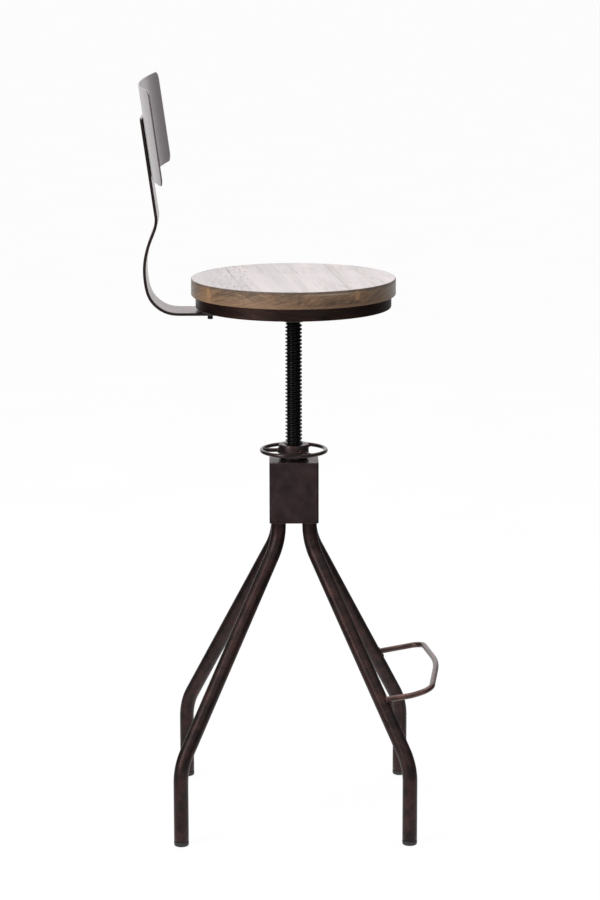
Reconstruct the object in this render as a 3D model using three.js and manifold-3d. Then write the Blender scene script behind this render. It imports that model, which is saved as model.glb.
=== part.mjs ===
// Screw-height bar stool: four bent tube legs welded into a square head, a
// trapezoidal-thread spindle in a nut, a spoked lock ring, a steel-panned wooden
// seat, a bent strap with a curved backrest plate, and a rod footrest.
// Millimetres, +Z up. Origin on the floor under the spindle axis.
// +X is the front (footrest side), -X is the back (backrest side).
import * as THREE from 'three';
import { mergeVertices } from 'three/addons/utils/BufferGeometryUtils.js';
import Module from 'manifold-3d';

const wasm = await Module();
wasm.setup();

// ---------------------------------------------------------------- dimensions
const GAP = 0.3;              // clearance between touching pieces

const HEAD = 80;              // square head, outside
const HEAD_WALL = 2.5;
const HEAD_Z0 = 497.4;
const HEAD_Z1 = 598;          // top of the plate that closes the head
const PLATE_T = 4.7;
const HEAD_R = 4;             // corner radius

const LEG_R = 11.9;           // leg tube, outer radius
const LEG_BORE = 9.9;         // leg tube, inner radius
const LEG_TOP = 559;
const LEG_IN = 25.2;          // leg centre offset inside the head
const LEG_OUT = 183.7;        // leg centre offset at the floor
const LEG_ZU = 465.6;         // upper bend corner
const LEG_ZL = 131.2;         // lower bend corner
const LEG_RU = 88;            // upper bend radius
const LEG_RL = 86;            // lower bend radius
const CAP_H = 8;              // visible height of a foot cap
const CAP_R = 12;

const ROD_R = 4.7;            // footrest rod radius
const ROD_PTS = [             // footrest centre line from the right leg to the left leg
  [137.5, -143.4, 228.8], [188, -140, 236.1], [219.5, -137.8, 245.6], [236.2, 0, 252.2],
  [219.5, 137.8, 246.4], [137.5, 143.4, 229.6],
];
const ROD_BENDS = [120, 24, 300, 24];

const PITCH = 6;              // trapezoidal thread
const CREST_R = 13.8;
const ROOT_R = 10.9;
const BORE_R = 14.4;          // plain bore of the nut and ring hub over the crest
const NUT_R = 20;
const NUT_Z0 = 562;

const RING_Z = 611.6;         // lock ring rim height
const RING_R = 52.4;          // rim centre line radius
const WIRE_R = 3.2;
const HUB_R = 24.5;
const HUB_Z1 = 622.4;

const SPINDLE_Z0 = 548.3;
const THREAD_Z1 = 822;
const SPINDLE_Z1 = 838.3;
const JOURNAL_R = 10;

const SEAT_R = 165;
const SEAT_Z0 = 868;
const SEAT_Z1 = 896;
const SEAT_ROUND = 3;
const BOARD_TURN = 7;         // degrees, board direction off the Y axis
const SEAMS = [-97, -14, 69]; // glue lines across the boards

const PAN_R = 158;
const PAN_Z0 = 848;
const PAN_WALL = 2.5;
const PAN_T = 3;

const BAR_Z0 = 838.9;         // underside of strap and spindle flange
const BAR_T = 4.7;            // strap thickness
const STRAP_W = 75;
const STRAP_TOP = 1154.5;
const STRAP_LEAN = 7.9;       // degrees
const STRAP_KNEE = [-220.7, 992.8];
const STRAP_BULGE = [         // outer face of the lower curve, knee downwards
  [-221.3, 989.0], [-223.0, 980.4], [-226.3, 971.4], [-230.6, 960.8], [-234.1, 951.2],
  [-236.8, 941.6], [-239.0, 931.0], [-240.3, 921.0], [-240.7, 911.0], [-240.3, 901.0],
  [-239.2, 891.0], [-237.4, 881.0], [-234.4, 871.0], [-229.6, 862.0], [-223.0, 854.2],
  [-215.0, 847.8], [-206.0, 843.0], [-196.0, 840.1], [-184.0, 838.9],
];
const STRAP_END = -62;

const PANEL_H = 149;
const PANEL_HALF = 195.7;     // half chord
const PANEL_SAG = 22.3;
const PANEL_T = 2.2;
const PANEL_CORNER = 14;
const PANEL_Z = 1060.2;

const STRAP_BOLTS = [[-134, -22], [-134, 22], [-84, -22], [-84, 22]];
const FLANGE_BOLTS = [[-36, -36], [-36, 36], [36, -36], [36, 36]];
const PAN_SCREWS = [[-85, -85], [-85, 85], [85, -85], [85, 85]];
const RIVETS = [[-20, 25], [20, 25], [-20, 80], [20, 80]];

// ------------------------------------------------------------------- helpers
function weld(geometry) {
  let g = geometry.clone();
  g.deleteAttribute('normal');
  g.deleteAttribute('uv');
  if (!g.index) {
    g.setIndex([...Array(g.attributes.position.count).keys()]);
  }
  g = mergeVertices(g, 1e-4);
  const src = g.index.array;
  const keep = [];
  for (let i = 0; i < src.length; i += 3) {
    const [a, b, c] = [src[i], src[i + 1], src[i + 2]];
    if (a !== b && b !== c && a !== c) keep.push(a, b, c);
  }
  const p = g.attributes.position.array;
  let vol = 0;
  for (let i = 0; i < keep.length; i += 3) {
    const [a, b, c] = [keep[i] * 3, keep[i + 1] * 3, keep[i + 2] * 3];
    vol += p[a] * (p[b + 1] * p[c + 2] - p[b + 2] * p[c + 1])
      - p[a + 1] * (p[b] * p[c + 2] - p[b + 2] * p[c])
      + p[a + 2] * (p[b] * p[c + 1] - p[b + 1] * p[c]);
  }
  if (vol < 0) {
    for (let i = 0; i < keep.length; i += 3) {
      [keep[i + 1], keep[i + 2]] = [keep[i + 2], keep[i + 1]];
    }
  }
  g.setIndex(keep);
  return g;
}

function toSolid(geometry) {
  const g = weld(geometry);
  return new wasm.Manifold(new wasm.Mesh({
    numProp: 3,
    vertProperties: new Float32Array(g.attributes.position.array),
    triVerts: new Uint32Array(g.index.array),
  }));
}

function fromSolid(solid) {
  const m = solid.getMesh();
  const g = new THREE.BufferGeometry();
  const p = new Float32Array(m.numVert * 3);
  for (let i = 0; i < m.numVert; i++) {
    for (let k = 0; k < 3; k++) p[3 * i + k] = m.vertProperties[i * m.numProp + k];
  }
  g.setAttribute('position', new THREE.BufferAttribute(p, 3));
  g.setIndex([...m.triVerts]);
  return g;
}

function cut(geometry, tools) {
  let s = toSolid(geometry);
  for (const t of tools) s = s.subtract(toSolid(t));
  return fromSolid(s);
}

function keepInside(geometry, tool) {
  return fromSolid(toSolid(geometry).intersect(toSolid(tool)));
}

// Turned piece about +Z from [radius, height] pairs.
function turned(profile, segments) {
  const pts = profile.map(([r, z]) => new THREE.Vector2(r, z));
  return new THREE.LatheGeometry(pts, segments).rotateX(Math.PI / 2);
}

// Turned ring: the profile closes on itself.
function ring(r0, r1, z0, z1, segments, chamfer = 0) {
  const c = chamfer;
  const prof = c
    ? [[r0, z0], [r1 - c, z0], [r1, z0 + c], [r1, z1 - c], [r1 - c, z1], [r0, z1], [r0, z0]]
    : [[r0, z0], [r1, z0], [r1, z1], [r0, z1], [r0, z0]];
  return turned(prof, segments);
}

function pin(r, z0, z1, x, y, segments = 8) {
  return new THREE.CylinderGeometry(r, r, z1 - z0, segments)
    .rotateX(Math.PI / 2).translate(x, y, (z0 + z1) / 2);
}

function box(x0, x1, y0, y1, z0, z1) {
  return new THREE.BoxGeometry(x1 - x0, y1 - y0, z1 - z0)
    .translate((x0 + x1) / 2, (y0 + y1) / 2, (z0 + z1) / 2);
}

function roundedSquare(half, r, n = 4) {
  const pts = [];
  for (let q = 0; q < 4; q++) {
    const [sx, sy] = [[1, 1], [-1, 1], [-1, -1], [1, -1]][q];
    for (let k = 0; k <= n; k++) {
      const a = (q + k / n) * Math.PI / 2;
      pts.push(new THREE.Vector2(sx * (half - r) + r * Math.cos(a), sy * (half - r) + r * Math.sin(a)));
    }
  }
  return pts;
}

function circle(r, n) {
  return [...Array(n).keys()].map((k) => {
    const a = (2 * Math.PI * (k + 0.5)) / n;
    return new THREE.Vector2(r * Math.cos(a), r * Math.sin(a));
  });
}

// A centre line through given corners, each rounded by an arc; its stations
// sit at the ends of the straights and along the arcs only.
class BentLine extends THREE.Curve {
  constructor(corners, radii, arcSteps) {
    super();
    const P = corners.map((c) => new THREE.Vector3(...c));
    this.pts = [P[0]];
    this.dirs = [P[1].clone().sub(P[0]).normalize()];
    for (let i = 1; i < P.length - 1; i++) {
      const a = P[i - 1].clone().sub(P[i]).normalize();
      const b = P[i + 1].clone().sub(P[i]).normalize();
      const turn = Math.PI - a.angleTo(b);
      const R = radii[i - 1];
      const t = R * Math.tan(turn / 2);
      const centre = P[i].clone().add(a.clone().add(b).normalize().multiplyScalar(R / Math.cos(turn / 2)));
      const u = P[i].clone().addScaledVector(a, t).sub(centre);
      const d = a.clone().negate();
      const n = arcSteps[i - 1];
      for (let k = 0; k <= n; k++) {
        const w = (turn * k) / n;
        this.pts.push(centre.clone().addScaledVector(u, Math.cos(w)).addScaledVector(d, R * Math.sin(w)));
        this.dirs.push(u.clone().normalize().multiplyScalar(-Math.sin(w)).addScaledVector(d, Math.cos(w)).normalize());
      }
    }
    this.pts.push(P[P.length - 1]);
    this.dirs.push(P[P.length - 1].clone().sub(P[P.length - 2]).normalize());
    this.steps = this.pts.length - 1;
  }

  getPoint(t, target = new THREE.Vector3()) {
    const i = Math.min(this.steps, Math.max(0, t * this.steps));
    const k = Math.min(this.steps - 1, Math.floor(i));
    return target.lerpVectors(this.pts[k], this.pts[k + 1], i - k);
  }

  getPointAt(u, target) { return this.getPoint(u, target); }

  getTangentAt(u, target = new THREE.Vector3()) {
    return target.copy(this.dirs[Math.round(u * this.steps)]);
  }
}

function sweep(line, outer, inner = null) {
  const shape = new THREE.Shape(outer);
  if (inner) shape.holes.push(new THREE.Path([...inner].reverse()));
  return new THREE.ExtrudeGeometry(shape, { steps: line.steps, extrudePath: line, bevelEnabled: false });
}

// Right-hand trapezoidal thread as one spiral grid, closed by a fan at each end.
function threadedRod(z0, z1, perTurn) {
  const rows = [[0, ROOT_R], [0.36, ROOT_R], [0.58, CREST_R], [0.76, CREST_R]];
  const turns = Math.ceil((z1 - z0) / PITCH) + 2;
  const start = z0 - 1.86 * PITCH;
  const pos = [];
  const id = (row, j) => (j === perTurn ? id(row + 4, 0) : row * perTurn + j);
  for (let t = 0; t <= turns; t++) {
    for (let m = 0; m < 4; m++) {
      for (let j = 0; j < perTurn; j++) {
        const a = (2 * Math.PI * j) / perTurn;
        pos.push(rows[m][1] * Math.cos(a), rows[m][1] * Math.sin(a), start + PITCH * (t + rows[m][0] + j / perTurn));
      }
    }
  }
  const last = turns * 4;
  const idx = [];
  for (let r = 0; r < last; r++) {
    for (let j = 0; j < perTurn; j++) {
      if (r + 5 > last + 3 && j + 1 === perTurn) continue;
      const [a, b, c, d] = [id(r, j), id(r, j + 1), id(r + 1, j + 1), id(r + 1, j)];
      idx.push(a, b, c, a, c, d);
    }
  }
  // end loops
  const loops = [[], []];
  for (let j = 0; j < perTurn; j++) loops[0].push(id(0, j));
  for (let r = 4; r > 0; r--) loops[0].push(id(r, 0));
  const edges = new Map();
  for (let i = 0; i < idx.length; i += 3) {
    for (let k = 0; k < 3; k++) edges.set(`${idx[i + k]},${idx[i + (k + 1) % 3]}`, [idx[i + k], idx[i + (k + 1) % 3]]);
  }
  const open = [...edges.values()].filter(([a, b]) => !edges.has(`${b},${a}`));
  const low = pos.length / 3;
  pos.push(0, 0, start - PITCH);
  pos.push(0, 0, start + PITCH * (turns + 3));
  const mid = start + (PITCH * turns) / 2;
  for (const [a, b] of open) idx.push(b, a, pos[3 * a + 2] < mid ? low : low + 1);
  const g = new THREE.BufferGeometry();
  g.setAttribute('position', new THREE.BufferAttribute(new Float32Array(pos), 3));
  g.setIndex(idx);
  return g;
}

// ----------------------------------------------------------------- materials
const steel = (name, color, roughness) => new THREE.MeshStandardMaterial({ name, color, roughness, metalness: 0.85 });
const BRONZE = steel('antique bronze finish', 0x4a3634, 0.45);
const COPPER = steel('rubbed copper finish', 0x6b4540, 0.4);
const SCREW = steel('black oxide thread', 0x1d1a1a, 0.45);
const ZINC = steel('dark fastener', 0x2a2625, 0.4);
const WOOD = new THREE.MeshStandardMaterial({ name: 'weathered wood', color: 0xb29f92, roughness: 0.65, metalness: 0 });
const PLASTIC = new THREE.MeshStandardMaterial({ name: 'black plastic', color: 0x1b1818, roughness: 0.6, metalness: 0 });

const stool = new THREE.Group();
function add(name, geometry, material, parent = stool) {
  const mesh = new THREE.Mesh(weld(geometry), material);
  mesh.name = name;
  parent.add(mesh);
  return mesh;
}

// ---------------------------------------------------------------------- head
{
  const outer = new THREE.Shape(roundedSquare(HEAD / 2, HEAD_R));
  outer.holes.push(new THREE.Path(roundedSquare(HEAD / 2 - HEAD_WALL, HEAD_R - HEAD_WALL, 3).reverse()));
  add('head_tube', new THREE.ExtrudeGeometry(outer, { depth: HEAD_Z1 - PLATE_T - GAP - HEAD_Z0, bevelEnabled: false })
    .translate(0, 0, HEAD_Z0), BRONZE);

  const plate = new THREE.Shape(roundedSquare(HEAD / 2, HEAD_R));
  plate.holes.push(new THREE.Path(circle(BORE_R + 0.4, 24).reverse()));
  add('head_top_plate', new THREE.ExtrudeGeometry(plate, { depth: PLATE_T, bevelEnabled: false })
    .translate(0, 0, HEAD_Z1 - PLATE_T), BRONZE);

  add('spindle_nut', ring(BORE_R, NUT_R, NUT_Z0, HEAD_Z1 - PLATE_T - GAP, 24, 1), ZINC);
}

// ---------------------------------------------------------------------- legs
const legSides = { front_left: [1, 1], front_right: [1, -1], rear_left: [-1, 1], rear_right: [-1, -1] };
function legLine(sx, sy, z0 = CAP_H + GAP, z1 = LEG_TOP) {
  const at = (d, z) => [sx * d, sy * d, z];
  return new BentLine([at(LEG_IN, z1), at(LEG_IN, LEG_ZU), at(LEG_OUT, LEG_ZL), at(LEG_OUT, z0)], [LEG_RU, LEG_RL], [4, 4]);
}
for (const [side, [sx, sy]] of Object.entries(legSides)) {
  add(`leg_${side}`, sweep(legLine(sx, sy), circle(LEG_R, 12), circle(LEG_BORE, 12)), BRONZE);
  const cap = turned([
    [0, 0], [9.4, 0], [11.3, 0.6], [CAP_R, 2.2], [CAP_R, CAP_H], [LEG_BORE - 0.4, CAP_H],
    [LEG_BORE - 0.4, 24], [LEG_BORE - 1.6, 26], [0, 26],
  ], 12);
  add(`foot_cap_${side}`, cap.translate(sx * LEG_OUT, sy * LEG_OUT, 0), PLASTIC);
}

// ------------------------------------------------------------------ footrest
{
  const line = new BentLine(ROD_PTS, ROD_BENDS, [3, 6, 5, 6]);
  const fat = circle(LEG_R + GAP, 20);
  add('footrest_rod', cut(sweep(line, circle(ROD_R, 12)), [
    sweep(legLine(1, -1), fat), sweep(legLine(1, 1), fat),
  ]), COPPER);
}

// ----------------------------------------------------------------- lock ring
add('lock_thrust_washer', ring(BORE_R + 0.3, 22, HEAD_Z1 + GAP, HEAD_Z1 + 1.5, 24), ZINC);
add('lock_hub', ring(BORE_R, HUB_R, HEAD_Z1 + 1.8, HUB_Z1, 24, 1.2), BRONZE);
add('lock_rim', new THREE.TorusGeometry(RING_R, WIRE_R, 8, 32).translate(0, 0, RING_Z), COPPER);
[180, 60, -60].forEach((deg, i) => {
  const r0 = HUB_R + 0.35;
  const r1 = RING_R - WIRE_R - GAP;
  const spoke = new THREE.CylinderGeometry(WIRE_R, WIRE_R, r1 - r0, 8)
    .rotateZ(-Math.PI / 2).translate((r0 + r1) / 2, 0, RING_Z).rotateZ(deg * Math.PI / 180);
  add(`lock_spoke_${i + 1}`, spoke, COPPER);
});

// ------------------------------------------------------------------- spindle
{
  const upper = [[0, SPINDLE_Z0 + 0], [CREST_R - 2.2, SPINDLE_Z0], [CREST_R + 1, SPINDLE_Z0 + 3.2], [CREST_R + 1, THREAD_Z1 - 3], [CREST_R - 2, THREAD_Z1], [0, THREAD_Z1]];
  let s = toSolid(threadedRod(SPINDLE_Z0, THREAD_Z1, 10)).intersect(toSolid(turned(upper, 20)));
  s = s.add(toSolid(turned([[0, THREAD_Z1 - 4], [JOURNAL_R, THREAD_Z1 - 4], [JOURNAL_R, SPINDLE_Z1], [0, SPINDLE_Z1]], 20)));
  s = s.subtract(toSolid(pin(4.3, SPINDLE_Z0 - 5, 566, 0, 0, 12)));
  s = s.subtract(toSolid(new THREE.CylinderGeometry(2.8, 2.8, 60, 10).translate(0, 0, 0).translate(0, 0, 831)));
  add('spindle', fromSolid(s), SCREW);

  // boss and square plate on the spindle's upper end
  let f = toSolid(box(-50, 50, -50, 50, BAR_Z0, BAR_Z0 + BAR_T));
  f = f.add(toSolid(turned([[0, 824], [17, 824], [18, 825], [18, BAR_Z0 + 1], [0, BAR_Z0 + 1]], 24)));
  f = f.subtract(toSolid(pin(JOURNAL_R + 0.3, 820, SPINDLE_Z1 + GAP, 0, 0, 24)));
  f = f.subtract(toSolid(new THREE.CylinderGeometry(2.8, 2.8, 60, 10).translate(0, 0, 831)));
  for (const [x, y] of FLANGE_BOLTS) f = f.subtract(toSolid(pin(3.3, 830, 850, x, y)));
  add('spindle_flange', fromSolid(f), BRONZE);
  add('spindle_cross_pin', new THREE.CylinderGeometry(2.5, 2.5, 35, 10).translate(0, 0, 831), ZINC);

  // travel stop under the nut
  add('stop_washer', ring(4.4, 18, SPINDLE_Z0 - GAP - 4, SPINDLE_Z0 - GAP, 20), ZINC);
  const head = new THREE.CylinderGeometry(7.5, 7.5, 5.3, 6).rotateX(Math.PI / 2).translate(0, 0, SPINDLE_Z0 - 4.6 - 5.3 / 2);
  add('spindle_end_bolt', fromSolid(toSolid(head).add(toSolid(pin(4, SPINDLE_Z0 - 5.5, 564, 0, 0, 12)))), ZINC);
}

// ---------------------------------------------------------------------- seat
const turn = (g) => g.rotateZ((BOARD_TURN * Math.PI) / 180);
{
  const pan = turned([
    [0, PAN_Z0], [PAN_R - 1, PAN_Z0], [PAN_R, PAN_Z0 + 1], [PAN_R, SEAT_Z0 - GAP],
    [PAN_R - PAN_WALL, SEAT_Z0 - GAP], [PAN_R - PAN_WALL, PAN_Z0 + PAN_T], [0, PAN_Z0 + PAN_T],
  ], 48);
  const holes = [
    ...STRAP_BOLTS.map(([x, y]) => pin(2.8, 840, 860, x, y)),
    ...FLANGE_BOLTS.map(([x, y]) => pin(3.3, 840, 860, x, y)),
    ...PAN_SCREWS.map(([x, y]) => pin(2.3, 840, 860, x, y)),
  ];
  add('seat_pan', cut(pan, holes), BRONZE);

  add('seat_bracket_plate', cut(box(-146, 62, -45, 45, BAR_Z0 + BAR_T + GAP, PAN_Z0 - GAP), holes.slice(0, 8)), BRONZE);

  const r = SEAT_ROUND;
  const disc = turned([
    [0, PAN_Z0 + PAN_T + GAP], [PAN_R - PAN_WALL - GAP, PAN_Z0 + PAN_T + GAP], [PAN_R - PAN_WALL - GAP, SEAT_Z0],
    [SEAT_R - 2, SEAT_Z0], [SEAT_R, SEAT_Z0 + 2],
    [SEAT_R, SEAT_Z1 - r], [SEAT_R - 0.3 * r, SEAT_Z1 - 0.3 * r], [SEAT_R - r, SEAT_Z1], [0, SEAT_Z1],
  ], 48);
  const bores = [
    ...STRAP_BOLTS.map(([x, y]) => pin(2.8, 840, 876.5, x, y)),
    ...FLANGE_BOLTS.map(([x, y]) => pin(3.3, 840, 873.5, x, y)),
    ...PAN_SCREWS.map(([x, y]) => pin(2.3, 840, 880.5, x, y)),
  ];
  const body = cut(disc, bores);
  const edges = [-200, ...SEAMS, 200];
  for (let i = 0; i < 4; i++) {
    const slab = turn(box(edges[i] + GAP / 2, edges[i + 1] - GAP / 2, -200, 200, 840, 900));
    add(`seat_board_${i + 1}`, keepInside(body, slab), WOOD);
  }

  STRAP_BOLTS.forEach(([x, y], i) => add(`strap_bolt_${i + 1}`, turned([
    [0, 831.8], [3.8, 831.8], [4.3, 832.4], [4.3, 837.3], [5.5, 837.3], [5.5, 838.6], [2.5, 838.6], [2.5, 876], [0, 876],
  ], 8).translate(x, y, 0), ZINC));
  FLANGE_BOLTS.forEach(([x, y], i) => add(`flange_bolt_${i + 1}`, turned([
    [0, 834.4], [5.3, 834.4], [5.8, 835], [5.8, 838.6], [3, 838.6], [3, 873], [0, 873],
  ], 6).translate(x, y, 0), ZINC));
  PAN_SCREWS.forEach(([x, y], i) => add(`pan_screw_${i + 1}`, turned([
    [0, 844.7], [2.8, 844.9], [4.2, 846.2], [4.2, 847.7], [2, 847.7], [2, 880], [0, 880],
  ], 8).translate(x, y, 0), ZINC));
}

// ------------------------------------------------------------------ backrest
{
  const t = (STRAP_LEAN * Math.PI) / 180;
  const up = [-Math.sin(t), Math.cos(t)];
  const along = (z) => (z - STRAP_KNEE[1]) / up[1];
  const on = (s) => [STRAP_KNEE[0] + up[0] * s, STRAP_KNEE[1] + up[1] * s];

  // side profile of the bent bar: outer face, then the inner face back up
  const outer = [on(along(STRAP_TOP)), on(2.5), ...STRAP_BULGE, [STRAP_END, BAR_Z0]];
  const inner = outer.map((p, i) => {
    const a = outer[Math.max(0, i - 1)];
    const b = outer[Math.min(outer.length - 1, i + 1)];
    const n1 = i > 0 ? [a[1] - p[1], p[0] - a[0]] : null;
    const n2 = i < outer.length - 1 ? [p[1] - b[1], b[0] - p[0]] : null;
    const unit = (v) => { const l = Math.hypot(...v); return [v[0] / l, v[1] / l]; };
    const u = n1 && n2 ? [unit(n1), unit(n2)] : [unit(n1 || n2), unit(n1 || n2)];
    const s = unit([u[0][0] + u[1][0], u[0][1] + u[1][1]]);
    const k = BAR_T / Math.max(0.5, s[0] * u[0][0] + s[1] * u[0][1]);
    return [p[0] + s[0] * k, p[1] + s[1] * k];
  });
  const pts = [...outer, ...inner.reverse()].map(([x, z]) => new THREE.Vector2(x, z));
  const bar = new THREE.ExtrudeGeometry(new THREE.Shape(pts), { depth: STRAP_W, bevelEnabled: false })
    .rotateX(Math.PI / 2).translate(0, STRAP_W / 2, 0);

  // blank outline seen from behind, with rounded top corners
  const w = STRAP_W / 2;
  const rc = 5;
  const blank = new THREE.Shape();
  blank.moveTo(-w, 800);
  blank.lineTo(w, 800);
  blank.lineTo(w, STRAP_TOP - rc);
  blank.absarc(w - rc, STRAP_TOP - rc, rc, 0, Math.PI / 2, false);
  blank.lineTo(-w + rc, STRAP_TOP);
  blank.absarc(-w + rc, STRAP_TOP - rc, rc, Math.PI / 2, Math.PI, false);
  const outline = new THREE.ExtrudeGeometry(blank, { depth: 400, bevelEnabled: false, curveSegments: 5 })
    .rotateX(Math.PI / 2).rotateZ(Math.PI / 2).translate(-300, 0, 0);

  const origin = on(along(PANEL_Z));
  const place = (g) => g.rotateY(-t).translate(origin[0], 0, origin[1]);
  const across = (prof, y, z) => place(turned(prof, 10).rotateY(Math.PI / 2).translate(0, y, z));
  const rivetHoles = RIVETS.map(([y, z]) => across([[0, -1], [5.6, -1], [4.8, GAP], [2.8, 2.6], [2.8, 12], [0, 12]], y, z));

  let strap = toSolid(bar).intersect(toSolid(outline));
  for (const h of rivetHoles) strap = strap.subtract(toSolid(h));
  for (const [x, y] of STRAP_BOLTS) strap = strap.subtract(toSolid(pin(2.8, 830, 850, x, y)));
  add('backrest_strap', fromSolid(strap), COPPER);

  // curved plate: a slice of a cylinder, its corners rounded
  const R = (PANEL_HALF ** 2 + PANEL_SAG ** 2) / (2 * PANEL_SAG);
  const half = Math.asin(PANEL_HALF / R);
  const x0 = BAR_T + GAP;
  const arc = (rad, a) => new THREE.Vector2(x0 + R - rad * Math.cos(a), rad * Math.sin(a));
  const n = 14;
  const sect = [];
  for (let k = 0; k <= n; k++) sect.push(arc(R, -half + (2 * half * k) / n));
  for (let k = n; k >= 0; k--) sect.push(arc(R - PANEL_T, -half + (2 * half * k) / n));
  const sheet = new THREE.ExtrudeGeometry(new THREE.Shape(sect), { depth: PANEL_H, bevelEnabled: false });
  const c = PANEL_CORNER;
  const [hw, hh] = [PANEL_HALF + 0.05, PANEL_H];
  const face = new THREE.Shape();
  face.absarc(hw - c, c, c, -Math.PI / 2, 0, false);
  face.absarc(hw - c, hh - c, c, 0, Math.PI / 2, false);
  face.absarc(-hw + c, hh - c, c, Math.PI / 2, Math.PI, false);
  face.absarc(-hw + c, c, c, Math.PI, 1.5 * Math.PI, false);
  const faceCut = new THREE.ExtrudeGeometry(face, { depth: 120, bevelEnabled: false, curveSegments: 5 })
    .rotateX(Math.PI / 2).rotateZ(Math.PI / 2).translate(-30, 0, 0);
  let panel = toSolid(place(new THREE.BufferGeometry().copy(sheet)));
  panel = panel.intersect(toSolid(place(new THREE.BufferGeometry().copy(faceCut))));
  for (const h of rivetHoles) panel = panel.subtract(toSolid(h));
  add('backrest_panel', fromSolid(panel), BRONZE);

  RIVETS.forEach(([y, z], i) => add(`panel_rivet_${i + 1}`, across([
    [0, 0.1], [4.5, 0.1], [4.4, GAP + 0.1], [2.5, 2.4], [2.5, 7.9], [6, 7.9], [5.6, 9], [3.6, 10.2], [0, 10.6],
  ], y, z), ZINC));
}

export default stool;
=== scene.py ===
import math
import random

import bmesh
import bpy
import numpy as np
from mathutils import Matrix, Vector


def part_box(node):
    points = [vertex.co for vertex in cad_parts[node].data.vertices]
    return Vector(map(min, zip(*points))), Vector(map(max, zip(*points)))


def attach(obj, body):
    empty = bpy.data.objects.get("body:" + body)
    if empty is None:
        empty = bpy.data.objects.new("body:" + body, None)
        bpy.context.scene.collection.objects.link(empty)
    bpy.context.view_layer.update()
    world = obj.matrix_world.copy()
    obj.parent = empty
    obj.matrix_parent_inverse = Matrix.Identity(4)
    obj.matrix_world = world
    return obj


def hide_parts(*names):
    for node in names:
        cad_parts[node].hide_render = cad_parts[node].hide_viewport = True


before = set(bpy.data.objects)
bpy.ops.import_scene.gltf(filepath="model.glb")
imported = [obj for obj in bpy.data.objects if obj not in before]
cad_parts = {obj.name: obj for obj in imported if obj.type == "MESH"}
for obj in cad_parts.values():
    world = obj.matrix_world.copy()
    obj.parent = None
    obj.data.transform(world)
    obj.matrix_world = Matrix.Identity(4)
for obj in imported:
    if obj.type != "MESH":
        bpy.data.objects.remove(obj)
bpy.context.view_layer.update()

MM = 0.001
rng = random.Random(821)


def box_mm(node):
    lo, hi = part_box(node)
    return np.array(lo) / MM, np.array(hi) / MM


# ------------------------------------------------------------- mesh builders
def piece(name, verts, faces, body, slot, nodes, surf=None, sharp=None, weighted=False, mats=None):
    """A mesh object from millimetre points; surf is the coordinate its finish follows."""
    me = bpy.data.meshes.new(name)
    v = np.asarray(verts, float)
    me.from_pydata([tuple(p) for p in v * MM], [], [tuple(f) for f in faces])
    me.validate(verbose=False)
    bm = bmesh.new()
    bm.from_mesh(me)
    bmesh.ops.recalc_face_normals(bm, faces=bm.faces)
    if bm.calc_volume(signed=True) < 0:
        bmesh.ops.reverse_faces(bm, faces=bm.faces)
    bm.to_mesh(me)
    bm.free()
    if len(me.vertices) == len(v):
        s = v if surf is None else np.asarray(surf, float)
        a = me.attributes.new("surf", "FLOAT_VECTOR", "POINT")
        a.data.foreach_set("vector", (s * MM).astype(np.float32).ravel())
    for p in me.polygons:
        p.use_smooth = True
    if sharp is not None:
        me.set_sharp_from_angle(angle=math.radians(sharp))
    ob = bpy.data.objects.new(name, me)
    bpy.context.scene.collection.objects.link(ob)
    if weighted:
        w = ob.modifiers.new("normals", "WEIGHTED_NORMAL")
        w.keep_sharp = True
        w.weight = 80
    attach(ob, body)
    if nodes:
        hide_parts(*nodes)
    for m in (mats or []):
        me.materials.append(m)
    return ob


class Build:
    """Collects points, faces and finish coordinates of one piece."""

    def __init__(self):
        self.v, self.f, self.s = [], [], []

    def add(self, v, f, s=None):
        o = len(self.v)
        self.v += [tuple(p) for p in v]
        self.s += [tuple(p) for p in (v if s is None else s)]
        self.f += [tuple(i + o for i in q) for q in f]
        return self

    def make(self, name, body, slot, nodes, **k):
        return piece(name, self.v, self.f, body, slot, nodes, surf=self.s, **k)


def rings_to_faces(n_ring, n, closed_u=True, closed_v=False):
    f = []
    for i in range(n_ring if closed_v else n_ring - 1):
        a, b = i * n, ((i + 1) % n_ring) * n
        for j in range(n if closed_u else n - 1):
            k = (j + 1) % n
            f.append((a + j, a + k, b + k, b + j))
    return f


def lathe(profile, n=48, centre=(0, 0, 0), axis=None):
    """Turned solid from [radius, height]; a profile off the axis at both ends closes on itself."""
    prof = [tuple(p) for p in profile]
    ring = prof[0][0] > 1e-6 and prof[-1][0] > 1e-6
    v, f = [], []
    rows = []
    for r, z in prof:
        if r < 1e-6:
            rows.append([len(v)])
            v.append((0.0, 0.0, z))
        else:
            rows.append(list(range(len(v), len(v) + n)))
            v += [(r * math.cos(2 * math.pi * k / n), r * math.sin(2 * math.pi * k / n), z) for k in range(n)]
    m = len(rows)
    for i in range(m if ring else m - 1):
        a, b = rows[i], rows[(i + 1) % m]
        if len(a) == 1 and len(b) == 1:
            continue
        for j in range(n):
            k = (j + 1) % n
            if len(a) == 1:
                f.append((a[0], b[k], b[j]))
            elif len(b) == 1:
                f.append((a[j], a[k], b[0]))
            else:
                f.append((a[j], a[k], b[k], b[j]))
    v = np.array(v)
    s = v.copy()
    if axis is not None:
        q = Vector((0, 0, 1)).rotation_difference(Vector(axis)).to_matrix()
        v = v @ np.array(q).T
    return v + np.array(centre), f, s + np.array(centre)


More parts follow.
